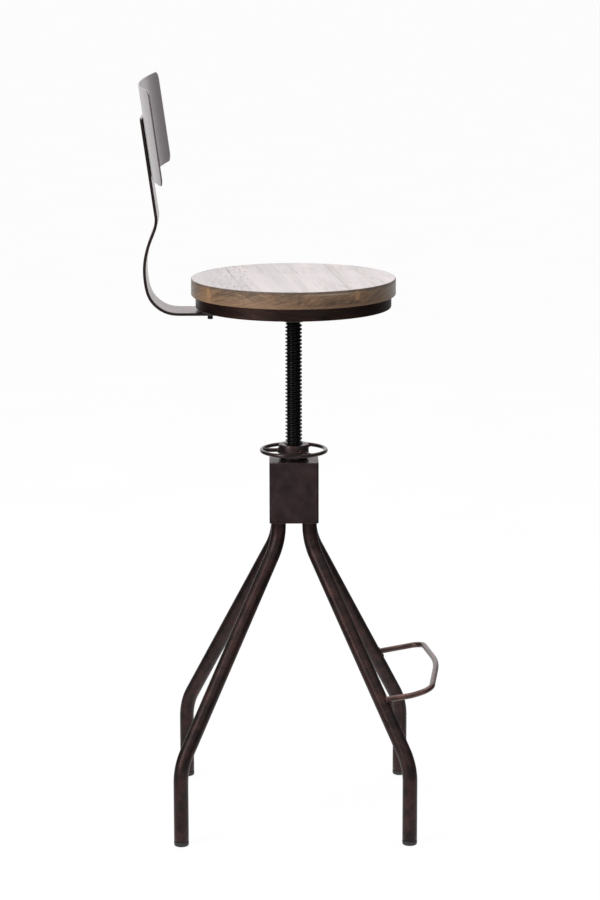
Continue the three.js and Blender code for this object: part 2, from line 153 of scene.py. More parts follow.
def rounded_profile(pts, radii, n=4):
    """Rounds the corners of an open [r, z] profile."""
    out = []
    for i, p in enumerate(pts):
        r = radii[i] if i < len(radii) else 0
        if r <= 0 or i in (0, len(pts) - 1):
            out.append(tuple(p))
            continue
        p, a, b = np.array(p, float), np.array(pts[i - 1], float), np.array(pts[i + 1], float)
        da, db = (a - p) / np.linalg.norm(a - p), (b - p) / np.linalg.norm(b - p)
        th = math.acos(max(-1, min(1, float(da @ db))))
        if th > math.pi - 0.02:
            out.append(tuple(p))
            continue
        t = min(r / math.tan(th / 2), 0.49 * np.linalg.norm(a - p), 0.49 * np.linalg.norm(b - p))
        rr = t * math.tan(th / 2)
        c = p + (da + db) / np.linalg.norm(da + db) * rr / math.sin(th / 2)
        u0, u1 = p + da * t - c, p + db * t - c
        w = math.acos(max(-1, min(1, float(u0 @ u1) / (rr * rr))))
        for k in range(n + 1):
            x = k / n
            q = (math.sin((1 - x) * w) * u0 + math.sin(x * w) * u1) / math.sin(w)
            out.append(tuple(c + q))
    return out


def bent_line(corners, radii, steps, ends=None):
    """Stations and directions along a line with rounded corners."""
    P = [Vector(c) for c in corners]
    pts, dirs = [P[0]], [(P[1] - P[0]).normalized()]
    for i in range(1, len(P) - 1):
        a, b = (P[i - 1] - P[i]).normalized(), (P[i + 1] - P[i]).normalized()
        turn = math.pi - a.angle(b)
        R = radii[i - 1]
        t = R * math.tan(turn / 2)
        c = P[i] + (a + b).normalized() * (R / math.cos(turn / 2))
        u = P[i] + a * t - c
        d = -a
        for k in range(steps + 1):
            w = turn * k / steps
            pts.append(c + u * math.cos(w) + d * (R * math.sin(w)))
            dirs.append((u.normalized() * -math.sin(w) + d * math.cos(w)).normalized())
    pts.append(P[-1])
    dirs.append((P[-1] - P[-2]).normalized())
    return densify(pts, dirs)


def densify(pts, dirs, step=12.0):
    op, od = [pts[0]], [dirs[0]]
    for i in range(1, len(pts)):
        L = (pts[i] - pts[i - 1]).length
        n = max(1, int(L / step))
        for k in range(1, n + 1):
            w = k / n
            op.append(pts[i - 1].lerp(pts[i], w))
            od.append(dirs[i - 1].lerp(dirs[i], w).normalized())
    return op, od


def frames(pts, dirs, up):
    """Parallel-transported side vectors along a line."""
    x = Vector(up).cross(dirs[0])
    if x.length < 1e-6:
        x = Vector((1, 0, 0)).cross(dirs[0])
    x.normalize()
    out = []
    for i, d in enumerate(dirs):
        if i:
            x = (x - d * x.dot(d)).normalized()
        out.append((x.copy(), d.cross(x).normalized()))
    return out


def tube(pts, dirs, r, n=32, up=(0, 0, 1), bore=None, scale=None, cap=True, s0=0.0):
    """A round bar or tube along stations; scale(s) may vary its radius."""
    fr = frames(pts, dirs, up)
    L = [0.0]
    for i in range(1, len(pts)):
        L.append(L[-1] + (pts[i] - pts[i - 1]).length)
    v, s, f = [], [], []

    def ring(i, rad, off=0.0):
        x, y = fr[i]
        p = pts[i] + dirs[i] * off
        for k in range(n):
            a = 2 * math.pi * k / n
            v.append(tuple(p + x * (rad * math.cos(a)) + y * (rad * math.sin(a))))
            s.append((rad * math.cos(a), rad * math.sin(a), s0 + L[i] + off))

    m = len(pts)
    b = min(0.6, r * 0.15)
    order = []
    ring(0, r - b)
    ring(0, r, b)
    for i in range(1, m - 1):
        ring(i, r * (scale(L[i]) if scale else 1.0))
    ring(m - 1, r, -b)
    ring(m - 1, r - b)
    count = m + 2
    if bore:
        for i in range(m - 1, -1, -1):
            ring(i, bore)
        count += m
        f = rings_to_faces(count, n, closed_v=True)
    else:
        f = rings_to_faces(count, n)
        if cap:
            f.append(tuple(range(n - 1, -1, -1)))
            f.append(tuple(range((count - 1) * n, count * n)))
    return v, f, s


def bead(centre, axis, radius, thick, a0=0.0, a1=360.0, lumps=18, seed=1, start=(1, 0, 0)):
    """A weld bead: a lumpy ring or arc of weld metal."""
    r = random.Random(seed)
    z = Vector(axis).normalized()
    x = Vector(start) - z * Vector(start).dot(z)
    x.normalize()
    y = z.cross(x)
    full = abs(a1 - a0) >= 359.9
    n = max(12, int(lumps * 6 * abs(a1 - a0) / 360))
    m = 10
    ph = r.random() * 6
    v = []
    c = Vector(centre)
    for i in range(n if full else n + 1):
        a = math.radians(a0 + (a1 - a0) * i / n)
        w = abs(math.sin((i / n) * lumps * abs(a1 - a0) / 360 * math.pi + ph))
        t = thick * (0.78 + 0.3 * w + 0.06 * r.random())
        if not full:
            t *= min(1.0, 0.35 + 4 * min(i, n - i) / n)
        d = x * math.cos(a) + y * math.sin(a)
        for k in range(m):
            b = 2 * math.pi * k / m
            v.append(tuple(c + d * (radius + t * math.cos(b)) + z * (t * 0.8 * math.sin(b))))
    cnt = n if full else n + 1
    f = rings_to_faces(cnt, m, closed_v=full)
    if not full:
        f.append(tuple(range(m - 1, -1, -1)))
        f.append(tuple(range((cnt - 1) * m, cnt * m)))
    return v, f, None


def rounded_square(half, r, n=10):
    pts = []
    for q, (sx, sy) in enumerate([(1, 1), (-1, 1), (-1, -1), (1, -1)]):
        for k in range(n + 1):
            a = (q + k / n) * math.pi / 2
            pts.append((sx * (half - r) + r * math.cos(a), sy * (half - r) + r * math.sin(a)))
    return pts


def stack(loops):
    """Closed solid from a cycle of equal loops of 3-D points."""
    n = len(loops[0])
    v = [p for l in loops for p in l]
    return v, rings_to_faces(len(loops), n, closed_v=True)


def smooth_line(pts, step):
    """Catmull-Rom curve through 2-D points, resampled evenly."""
    P = np.array(pts, float)
    P = np.vstack([2 * P[0] - P[1], P, 2 * P[-1] - P[-2]])
    out = []
    for i in range(1, len(P) - 2):
        p0, p1, p2, p3 = P[i - 1], P[i], P[i + 1], P[i + 2]
        t0, t1 = 0.0, np.linalg.norm(p1 - p0) ** 0.5
        t2 = t1 + np.linalg.norm(p2 - p1) ** 0.5
        t3 = t2 + np.linalg.norm(p3 - p2) ** 0.5
        for t in np.linspace(t1, t2, 12, endpoint=False):
            A1 = (t1 - t) / (t1 - t0) * p0 + (t - t0) / (t1 - t0) * p1
            A2 = (t2 - t) / (t2 - t1) * p1 + (t - t1) / (t2 - t1) * p2
            A3 = (t3 - t) / (t3 - t2) * p2 + (t - t2) / (t3 - t2) * p3
            B1 = (t2 - t) / (t2 - t0) * A1 + (t - t0) / (t2 - t0) * A2
            B2 = (t3 - t) / (t3 - t1) * A2 + (t - t1) / (t3 - t1) * A3
            out.append((t2 - t) / (t2 - t1) * B1 + (t - t1) / (t2 - t1) * B2)
    out.append(P[-2])
    out = np.array(out)
    cum = np.r_[0, np.cumsum(np.linalg.norm(np.diff(out, axis=0), axis=1))]
    s = np.linspace(0, cum[-1], int(cum[-1] / step) + 1)
    return np.stack([np.interp(s, cum, out[:, 0]), np.interp(s, cum, out[:, 1])], 1), s


# ----------------------------------------------------------------- materials
class Nodes:
    def __init__(self, name):
        self.m = bpy.data.materials.new(name)
        self.m.use_nodes = True
        self.t = self.m.node_tree
        self.t.nodes.clear()
        self.out = self.t.nodes.new("ShaderNodeOutputMaterial")
        self.b = self.t.nodes.new("ShaderNodeBsdfPrincipled")
        self.t.links.new(self.b.outputs[0], self.out.inputs[0])

    def n(self, kind, **props):
        node = self.t.nodes.new("ShaderNode" + kind)
        for k, v in props.items():
            setattr(node, k, v)
        return node

    def link(self, a, b):
        self.t.links.new(a, b)

    def put(self, node, name, value):
        sock = node.inputs[name] if isinstance(name, (str, int)) else name
        if isinstance(value, bpy.types.NodeSocket):
            self.t.links.new(value, sock)
        else:
            sock.default_value = value

    def attr(self, name="surf", out="Vector"):
        a = self.n("Attribute")
        a.attribute_type = "GEOMETRY"
        a.attribute_name = name
        return a.outputs[out]

    def scale(self, vec, s):
        v = self.n("VectorMath", operation="MULTIPLY")
        self.link(vec, v.inputs[0])
        v.inputs[1].default_value = s
        return v.outputs[0]

    def vadd(self, vec, s):
        v = self.n("VectorMath", operation="ADD")
        self.link(vec, v.inputs[0])
        self.put(v, 1, s)
        return v.outputs[0]

    def noise(self, vec, scale=1.0, detail=3.0, rough=0.55, dist=0.0, out="Fac"):
        n = self.n("TexNoise")
        n.noise_dimensions = "3D"
        self.link(vec, n.inputs["Vector"])
        n.inputs["Scale"].default_value = scale
        n.inputs["Detail"].default_value = detail
        n.inputs["Roughness"].default_value = rough
        n.inputs["Distortion"].default_value = dist
        return n.outputs[out]

    def math(self, op, a, b=0.0, c=None, clamp=False):
        m = self.n("Math", operation=op)
        m.use_clamp = clamp
        self.put(m, 0, a)
        self.put(m, 1, b)
        if c is not None:
            self.put(m, 2, c)
        return m.outputs[0]

    def ramp(self, fac, stops, smooth=False):
        r = self.n("ValToRGB")
        e = r.color_ramp.elements
        while len(e) > 1:
            e.remove(e[0])
        e[0].position, e[0].color = stops[0][0], self.col(stops[0][1])
        for p, c in stops[1:]:
            x = e.new(p)
            x.color = self.col(c)
        r.color_ramp.interpolation = "EASE" if smooth else "LINEAR"
        self.link(fac, r.inputs[0])
        return r.outputs[0]

    @staticmethod
    def col(c):
        if isinstance(c, (int, float)):
            return (c, c, c, 1)
        return (*c, 1) if len(c) == 3 else c

    def mix(self, fac, a, b, blend="MIX"):
        m = self.n("Mix", data_type="RGBA", blend_type=blend)
        self.put(m, m.inputs[0], fac)
        self.put(m, m.inputs[6], self.col(a) if not isinstance(a, bpy.types.NodeSocket) else a)
        self.put(m, m.inputs[7], self.col(b) if not isinstance(b, bpy.types.NodeSocket) else b)
        return m.outputs[2]

    def bump(self, height, strength, distance, normal=None):
        b = self.n("Bump")
        b.inputs["Strength"].default_value = strength
        b.inputs["Distance"].default_value = distance
        self.link(height, b.inputs["Height"])
        if normal is not None:
            self.link(normal, b.inputs["Normal"])
        return b.outputs[0]

    def edge(self, radius, gain=6.0):
        """1 on edges and corners, 0 on flats."""
        bv = self.n("Bevel")
        bv.samples = 6
        bv.inputs["Radius"].default_value = radius
        g = self.n("NewGeometry")
        d = self.n("VectorMath", operation="DOT_PRODUCT")
        self.link(bv.outputs[0], d.inputs[0])
        self.link(g.outputs["Normal"], d.inputs[1])
        x = self.math("SUBTRACT", 1.0, d.outputs["Value"])
        return self.math("MULTIPLY", x, gain, clamp=True)


def metal(name, dark, mid, copper, bright, rough=(0.24, 0.42), streak=0.5, copper_amount=0.5,
          edge_radius=0.0016, coat=0.15, brush=(520.0, 520.0, 9.0), seed=0.0, speck=0.5, metallic=0.85, coat_rough=0.28,
          tint=(1.0, 1.0, 1.0)):
    """Blackened bronze lacquer: blotched base, long brush marks, copper rubbed through."""
    k = Nodes(name)
    s = k.vadd(k.attr(), (seed, seed * 0.7, seed * 1.3))
    blotch = k.noise(s, 34.0, 4.0, 0.6, 0.4)
    patch = k.noise(s, 11.0, 2.0, 0.5, 0.2)
    lines = k.noise(k.scale(s, brush), 1.0, 5.0, 0.65, 0.1)
    fine = k.noise(k.scale(s, (brush[0] * 3, brush[1] * 3, brush[2] * 4)), 1.0, 3.0, 0.7)
    grain = k.noise(s, 1700.0, 2.0, 0.5)
    base = k.mix(k.ramp(blotch, [(0.32, 0.0), (0.68, 1.0)]), dark, mid)
    # brush marks let copper show in broken streaks
    rub = k.math("MULTIPLY", k.ramp(lines, [(0.5, 0.0), (0.72, 1.0)]), k.ramp(patch, [(0.36, 0.1), (0.62, 1.0)]))
    rub = k.math("MULTIPLY", rub, streak)
    col = k.mix(rub, base, copper)
    worn = k.math("MULTIPLY", k.ramp(k.noise(s, 60.0, 3.0, 0.6), [(0.42, 0.0), (0.64, 1.0)]), copper_amount)
    col = k.mix(worn, col, copper)
    e = k.edge(edge_radius)
    e = k.math("MULTIPLY", e, k.ramp(k.noise(s, 150.0, 4.0, 0.65), [(0.36, 0.0), (0.62, 1.0)]))
    col = k.mix(k.math("MULTIPLY", e, 0.75), col, bright)
    dark_specks = k.ramp(k.noise(s, 420.0, 2.0, 0.6), [(0.63, 0.0), (0.72, 1.0)])
    col = k.mix(k.math("MULTIPLY", dark_specks, speck), col, tuple(c * 0.4 for c in dark))
    k.put(k.b, "Base Color", col)
    k.b.inputs["Metallic"].default_value = metallic
    rr = k.math("ADD", k.math("MULTIPLY", k.ramp(fine, [(0.3, 0.0), (0.7, 1.0)]), 0.35), k.math("MULTIPLY", blotch, 0.65))
    mr = k.n("MapRange")
    k.put(mr, "Value", rr)
    mr.inputs["From Min"].default_value = 0.25
    mr.inputs["From Max"].default_value = 0.75
    mr.inputs["To Min"].default_value = rough[0]
    mr.inputs["To Max"].default_value = rough[1]
    k.put(k.b, "Roughness", mr.outputs[0])
    k.b.inputs["Coat Weight"].default_value = coat
    k.b.inputs["Coat Roughness"].default_value = coat_rough
    k.b.inputs["Specular Tint"].default_value = (*tint, 1)
    nb = k.bump(lines, 0.22, 0.00025)
    nb = k.bump(grain, 0.12, 0.00012, nb)
    nb = k.bump(k.noise(s, 90.0, 3.0, 0.5), 0.10, 0.0006, nb)
    k.put(k.b, "Normal", nb)
    return k.m


BRONZE_D, BRONZE_M = (0.020, 0.0125, 0.0118), (0.047, 0.031, 0.030)
COPPER_C, COPPER_B = (0.155, 0.068, 0.055), (0.30, 0.15, 0.115)
M_BRONZE = metal("bronze_brushed", BRONZE_D, BRONZE_M, COPPER_C, COPPER_B, streak=0.32, copper_amount=0.12, seed=0.3)
M_HEAD = metal("bronze_head", (0.046, 0.030, 0.032), (0.100, 0.066, 0.069), (0.17, 0.085, 0.078), COPPER_B, streak=0.30,
               copper_amount=0.12, seed=7.7, coat=0.12, edge_radius=0.0010)
M_LEG = metal("bronze_tube", (0.012, 0.0072, 0.0072), (0.036, 0.0225, 0.0225), (0.14, 0.056, 0.046), (0.12, 0.06, 0.05),
              streak=0.42, copper_amount=0.22, brush=(260.0, 260.0, 7.0), rough=(0.40, 0.56), seed=1.1)
M_PANEL = metal("bronze_sheet", (0.118, 0.086, 0.099), (0.186, 0.141, 0.158), (0.21, 0.130, 0.130), (0.05, 0.038, 0.036),
                streak=0.30, copper_amount=0.10, rough=(0.34, 0.50), brush=(9.0, 320.0, 420.0), seed=2.2, coat=0.95, metallic=0.5, coat_rough=0.22, tint=(1.0, 0.86, 0.88))
M_STRAP = metal("bronze_strap", (0.014, 0.0085, 0.0085), (0.035, 0.0225, 0.0225), (0.12, 0.052, 0.042), (0.045, 0.030, 0.029), streak=0.4, copper_amount=0.18,
                brush=(420.0, 420.0, 8.0), seed=3.7, coat=0.62, coat_rough=0.18, tint=(1.0, 0.84, 0.84))
M_ROD = metal("copper_rod", (0.035, 0.019, 0.017), (0.085, 0.044, 0.039), (0.22, 0.095, 0.075), (0.36, 0.18, 0.135),
              streak=0.55, copper_amount=0.45, brush=(300.0, 300.0, 10.0), edge_radius=0.001, seed=4.1, coat=0.5)
M_RING = metal("ring_wire", (0.016, 0.0095, 0.0088), (0.052, 0.031, 0.028), (0.19, 0.090, 0.066), (0.30, 0.16, 0.12),
               rough=(0.16, 0.30), streak=0.5, copper_amount=0.30, brush=(300.0, 300.0, 10.0), edge_radius=0.001, seed=9.4, coat=0.5)
M_FAST = metal("dark_fastener", (0.016, 0.014, 0.0135), (0.03, 0.027, 0.026), (0.06, 0.045, 0.04), (0.16, 0.13, 0.12),
               streak=0.25, copper_amount=0.1, edge_radius=0.0006, seed=5.9)
M_THREAD = metal("black_thread", (0.006, 0.0056, 0.0064), (0.013, 0.0122, 0.0140), (0.026, 0.023, 0.024), (0.055, 0.052, 0.055),
                 rough=(0.24, 0.40), streak=0.3, copper_amount=0.1, edge_radius=0.0006, brush=(60.0, 60.0, 900.0), seed=6.6, coat=0.16)


M_TRAY = metal("bronze_tray", (0.014, 0.0085, 0.0075), (0.034, 0.023, 0.021), (0.13, 0.052, 0.034), COPPER_B, streak=0.45,
               copper_amount=0.34, seed=8.8, coat=0.04, rough=(0.36, 0.52))


def plastic():
    k = Nodes("foot_plastic")
    s = k.attr()
    b = k.noise(s, 60.0, 3.0, 0.6)
    k.put(k.b, "Base Color", k.mix(k.ramp(b, [(0.3, 0.0), (0.7, 1.0)]), (0.012, 0.010, 0.010), (0.024, 0.020, 0.020)))
    k.put(k.b, "Roughness", k.ramp(k.noise(s, 300.0, 3.0, 0.6), [(0.3, 0.42), (0.7, 0.6)]))
    k.put(k.b, "Normal", k.bump(k.noise(s, 2200.0, 2.0, 0.5), 0.25, 0.0001))
    return k.m


M_PLASTIC = plastic()


def wood():
    """Brown weathered pine with broken growth bands round each board's heart, a pale washed top, and painted light on
    the side's ends and edges.
    """
    k = Nodes("weathered_wood")
    g = k.attr("grain")          # across, along, up from the log's heart, in metres
    own = k.attr("surf")         # place on the seat
    wob = k.noise(k.scale(g, (9.0, 1.6, 9.0)), 1.0, 3.0, 0.55, out="Color")
    w = k.n("VectorMath", operation="SUBTRACT")
    k.link(wob, w.inputs[0])
    w.inputs[1].default_value = (0.5, 0.5, 0.5)
    bent = k.vadd(g, k.scale(w.outputs[0], (0.018, 0.0, 0.018)))
    sep = k.n("SeparateXYZ")
    k.link(bent, sep.inputs[0])
    heart = k.math("SQRT", k.math("ADD", k.math("POWER", sep.outputs[0], 2.0), k.math("POWER", sep.outputs[2], 2.0)))
    turn = k.math("ARCTAN2", sep.outputs[0], sep.outputs[2])
    so = k.n("SeparateXYZ")
    k.link(own, so.inputs[0])
    az = k.math("ARCTAN2", so.outputs[1], so.outputs[0])      # place round the rim, in radians

    def at(deg, wide, z=0.882, tall=0.02):
        """A soft spot on the rim, centred deg round it and z up."""
        d = k.math("MULTIPLY", k.math("SUBTRACT", az, math.radians(deg)), 1.0 / math.radians(wide))
        h = k.math("MULTIPLY", k.math("SUBTRACT", so.outputs[2], z), 1.0 / tall)
        q = k.math("ADD", k.math("MULTIPLY", d, d), k.math("MULTIPLY", h, h))
        return k.math("POWER", 2.718, k.math("MULTIPLY", q, -1.0))

    knot = at(-53.0, 1.8, 0.886, 0.010)
    knot2 = at(-145.0, 2.0, 0.880, 0.013)
    knots = k.math("MAXIMUM", knot, knot2)
    heart = k.math("ADD", heart, k.math("MULTIPLY", knots, 0.010))

    def bands(freq, along, around, detail=3.0):
        c = k.n("CombineXYZ")
        k.put(c, 0, k.math("MULTIPLY", heart, freq))
        k.put(c, 1, k.math("MULTIPLY", sep.outputs[1], along))
        k.put(c, 2, k.math("MULTIPLY", turn, around))
        return k.noise(c.outputs[0], 1.0, detail, 0.6)

    wide, fine = bands(210.0, 2.5, 2.0), bands(700.0, 6.0, 5.0)
    fib = k.noise(k.scale(g, (1500.0, 20.0, 1500.0)), 1.0, 3.0, 0.6)
    fib2 = k.noise(k.scale(g, (420.0, 6.0, 420.0)), 1.0, 4.0, 0.65)
    tone = k.noise(k.scale(g, (24.0, 3.0, 24.0)), 1.0, 3.0, 0.6)
    blot = k.noise(own, 26.0, 4.0, 0.62)
    geo = k.n("NewGeometry")
    nz = k.n("SeparateXYZ")
    k.link(geo.outputs["Normal"], nz.inputs[0])
    top = k.ramp(nz.outputs[2], [(0.72, 0.0), (0.985, 1.0)])

    # sides: brown, browner and darker towards the middle; the paler grey towards both ends is painted light
    light, brown, deep = WOOD["light"], WOOD["brown"], WOOD["deep"]
    col = k.mix(k.ramp(wide, [(0.38, 0.0), (0.62, 1.0)]), light, brown)
    col = k.mix(k.math("MULTIPLY", k.ramp(fine, [(0.50, 0.0), (0.66, 1.0)]), 0.60), col, deep)
    col = k.mix(k.math("MULTIPLY", k.ramp(fib2, [(0.50, 0.0), (0.64, 1.0)]), 0.45), col, deep)
    slant = k.n("CombineXYZ")
    k.put(slant, 0, k.math("MULTIPLY", k.math("SUBTRACT", az, k.math("MULTIPLY", so.outputs[2], 22.0)), 26.0))
    k.put(slant, 1, k.math("MULTIPLY", so.outputs[2], 60.0))
    slants = k.noise(slant.outputs[0], 1.0, 5.0, 0.7, 0.6)
    col = k.mix(k.math("MULTIPLY", k.ramp(slants, [(0.50, 0.0), (0.60, 1.0)]), 0.72), col, deep)
    col = k.mix(k.math("MULTIPLY", k.ramp(slants, [(0.34, 1.0), (0.46, 0.0)]), 0.70), col, (0.46, 0.33, 0.235))
    grey = WOOD["grey"]
    col = k.mix(k.math("MULTIPLY", k.ramp(blot, [(0.42, 0.0), (0.64, 1.0)]), 0.38), col, grey)
    # painted light: paler grey over both ends of the side
    ends = k.math("MAXIMUM", at(-178.0, 22.0, 0.882, 1.0), at(-8.0, 30.0, 0.882, 1.0))
    col = k.mix(k.math("MULTIPLY", ends, 0.65), col, WOOD["ends"])
    # painted highlight: a pale patch on the side near the right end
    col = k.mix(k.math("MULTIPLY", at(-12.0, 11.0, 0.882, 1.0), 0.7), col, (0.66, 0.60, 0.55))
    red = k.math("MULTIPLY", at(-74.0, 26.0, 0.872, 0.016), 0.65)
    col = k.mix(red, col, k.mix(k.ramp(fine, [(0.4, 0.0), (0.62, 1.0)]), WOOD["red"], deep))
    amber = k.math("MAXIMUM", k.math("MULTIPLY", at(-147.0, 8.0, 0.88, 0.04), 0.50), k.math("MULTIPLY", at(-115.0, 24.0, 0.873, 0.011), 0.42))
    amber = k.math("MAXIMUM", amber, k.math("MULTIPLY", at(-58.0, 14.0, 0.890, 0.008), 0.30))
    amber = k.math("MAXIMUM", amber, k.math("MULTIPLY", at(-79.0, 5.0, 0.884, 0.008), 0.35))
    col = k.mix(amber, col, WOOD["amber"])
    streaky = k.math("MULTIPLY", k.ramp(fine, [(0.42, 1.0), (0.60, 0.15)]), k.ramp(slants, [(0.40, 0.25), (0.56, 1.0)]))
    col = k.mix(k.math("MULTIPLY", k.ramp(knots, [(0.22, 0.0), (0.75, 1.0)]), streaky), col, WOOD["knot"])
    # painted highlight: a paler stripe under the top edge on the right; painted light from the floor: a paler line
    # along the bottom edge of the side; darker along the top edge of the side
    # painted highlight along the top edge of the side on the right
    painted_edge_highlight = k.math("MULTIPLY", at(-66.0, 15.0, 0.8905, 0.0012), 0.7)
    col = k.mix(painted_edge_highlight, col, (0.52, 0.44, 0.36))
    # painted light from the floor along the bottom edge of the side
    painted_floor_light = soft_step(k, so.outputs[2], 0.8745, 0.8690)
    col = k.mix(k.math("MULTIPLY", painted_floor_light, 0.35), col, WOOD["amber"])
    high = soft_step(k, so.outputs[2], 0.8895, 0.8945)
    col = k.mix(k.math("MULTIPLY", high, 0.55), col, (0.105, 0.085, 0.075))

    # top: pale wash over the grain, with short dark checks in places
    wear = k.noise(k.scale(g, (60.0, 9.0, 60.0)), 1.0, 5.0, 0.62)
    wcol = k.mix(k.ramp(tone, [(0.36, 0.0), (0.64, 1.0)]), WOOD["wash"], WOOD["wash2"])
    wcol = k.mix(k.math("MULTIPLY", k.ramp(wide, [(0.48, 0.0), (0.66, 1.0)]), 0.22), wcol, (0.30, 0.255, 0.250))
    wcol = k.mix(k.math("MULTIPLY", k.ramp(fib2, [(0.53, 0.0), (0.68, 1.0)]), 0.30), wcol, (0.27, 0.235, 0.235))
    place = k.math("MULTIPLY", k.ramp(k.noise(own, 13.0, 2.0, 0.5), [(0.47, 0.0), (0.60, 1.0)]), 1.0)
    left = k.math("MULTIPLY", soft_step(k, so.outputs[0], -0.055, -0.085), soft_step(k, so.outputs[0], -0.145, -0.125))
    place = k.math("MAXIMUM", k.math("MULTIPLY", place, 0.55), left)
    checks = k.noise(k.scale(g, (900.0, 34.0, 900.0)), 1.0, 3.0, 0.6)
    wcol = k.mix(k.math("MULTIPLY", k.math("MULTIPLY", k.ramp(checks, [(0.55, 0.0), (0.64, 1.0)]), place), 0.8), wcol, (0.115, 0.10, 0.105))
    wcol = k.mix(k.math("MULTIPLY", k.ramp(wear, [(0.60, 0.0), (0.74, 1.0)]), 0.30), wcol, light)
    col = k.mix(top, col, wcol)
    # grey line where the wash wears off the arris
    arris = k.math("MULTIPLY", k.ramp(nz.outputs[2], [(0.30, 0.0), (0.62, 1.0), (0.93, 0.0)]), 0.75)
    col = k.mix(arris, col, (0.11, 0.097, 0.092))
    k.put(k.b, "Base Color", col)
    k.put(k.b, "Roughness", k.ramp(wear, [(0.3, 0.42), (0.7, 0.62)]))
    k.b.inputs["Coat Weight"].default_value = 0.18
    k.b.inputs["Coat Roughness"].default_value = 0.25
    h = k.math("ADD", k.math("MULTIPLY", fib2, 0.6), k.math("MULTIPLY", fine, 0.3))
    h = k.math("SUBTRACT", h, k.math("MULTIPLY", k.math("MULTIPLY", k.ramp(checks, [(0.55, 0.0), (0.64, 1.0)]), place), 0.5))
    nb = k.bump(h, 0.40, 0.0005)
    nb = k.bump(fib, 0.30, 0.0002, nb)
    k.put(k.b, "Normal", nb)
    return k.m


WOOD = dict(light=(0.43, 0.270, 0.152), brown=(0.225, 0.125, 0.064), deep=(0.050, 0.028, 0.017), grey=(0.200, 0.150, 0.112),
            ends=(0.36, 0.305, 0.262), red=(0.175, 0.082, 0.044), amber=(0.46, 0.265, 0.145), knot=(0.66, 0.36, 0.17),
            wash=(0.60, 0.535, 0.535), wash2=(0.50, 0.462, 0.462))


def soft_step(k, v, a, b):
    """0 at a and 1 at b."""
    m = k.n("MapRange", interpolation_type="SMOOTHSTEP")
    k.put(m, "Value", v)
    if a < b:
        m.inputs["From Min"].default_value, m.inputs["From Max"].default_value = a, b
    else:
        m.inputs["From Min"].default_value, m.inputs["From Max"].default_value = b, a
        m.inputs["To Min"].default_value, m.inputs["To Max"].default_value = 1.0, 0.0
    return m.outputs[0]


M_WOOD = wood()

# --------------------------------------------------------------------- head
H0, H1 = box_mm("head_tube")
P0, P1 = box_mm("head_top_plate")
HALF, WALL, HR = float(H1[0]), 2.5, 4.0
SEAM = (H1[2] + P0[2]) / 2


def loop(half, r, z):
    return [(x, y, z) for x, y in rounded_square(half, r)]


sq = rounded_square(HALF, HR)
ang = [math.atan2(y, x) for x, y in sq]


def hole(r, z):
    return [(r * math.cos(a), r * math.sin(a), z) for a in ang]


b = 0.9
TOP = float(P1[2])
zs = list(np.linspace(H0[2] + b, TOP - b, 18))
loops = [loop(HALF - b, HR - b, H0[2]), loop(HALF - b * 0.3, HR - b * 0.3, H0[2] + b * 0.3)]
loops += [loop(HALF, HR, z) for z in zs]
loops += [loop(HALF - b * 0.3, HR - b * 0.3, TOP - b * 0.3), loop(HALF - b, HR - b, TOP), loop(HALF - 6, HR + 3, TOP),
          hole(26, TOP), hole(15.3, TOP), hole(14.8, TOP - 0.5), hole(14.8, P0[2]), hole(26, P0[2]),
          loop(HALF - 6, HR + 3, P0[2]), loop(HALF - WALL, HR - WALL, P0[2])]
loops += [loop(HALF - WALL, HR - WALL, z) for z in np.linspace(P0[2] - 4, H0[2] + 1, 14)]
loops += [loop(HALF - WALL + 0.4, HR - WALL + 0.4, H0[2])]
v, f = stack(loops)
head = Build().add(v, f)
for x, z, r in ((-33.0, 505.0, 1.5), (-30.6, 502.6, 0.9), (-35.2, 509.5, 0.8), (-27.5, 508.8, 1.1), (-22.5, 503.2, 0.7), (31.0, 503.5, 0.8)):
    vv, ff, _ = lathe([(0, -0.4)] + [(r * math.cos(t), 0.55 * r * math.sin(t)) for t in np.linspace(0, 1.35, 5)] + [(0, 0.55 * r)], 12,
                      (x, -HALF + 0.05, z), axis=(0, -1, 0))
    head.add(vv, ff)
head.make("head_box", "base", "bronze_steel", ["head_tube", "head_top_plate"], sharp=40, weighted=True, mats=[M_HEAD])

n0, n1 = box_mm("spindle_nut")
R = float(n1[0])
v, f, s = lathe(rounded_profile([(14.4, n0[2]), (R, n0[2]), (R, n1[2]), (14.4, n1[2])], [0, 1.2, 0.5, 0]), 48)
nut = Build().add(v, f, s)
nut.add(*bead((0, 0, n1[2] - 1.0), (0, 0, 1), R + 0.6, 1.8, seed=4, lumps=20))
nut.make("spindle_nut_welded", "base", "dark_fastener", ["spindle_nut"], sharp=45, mats=[M_FAST])

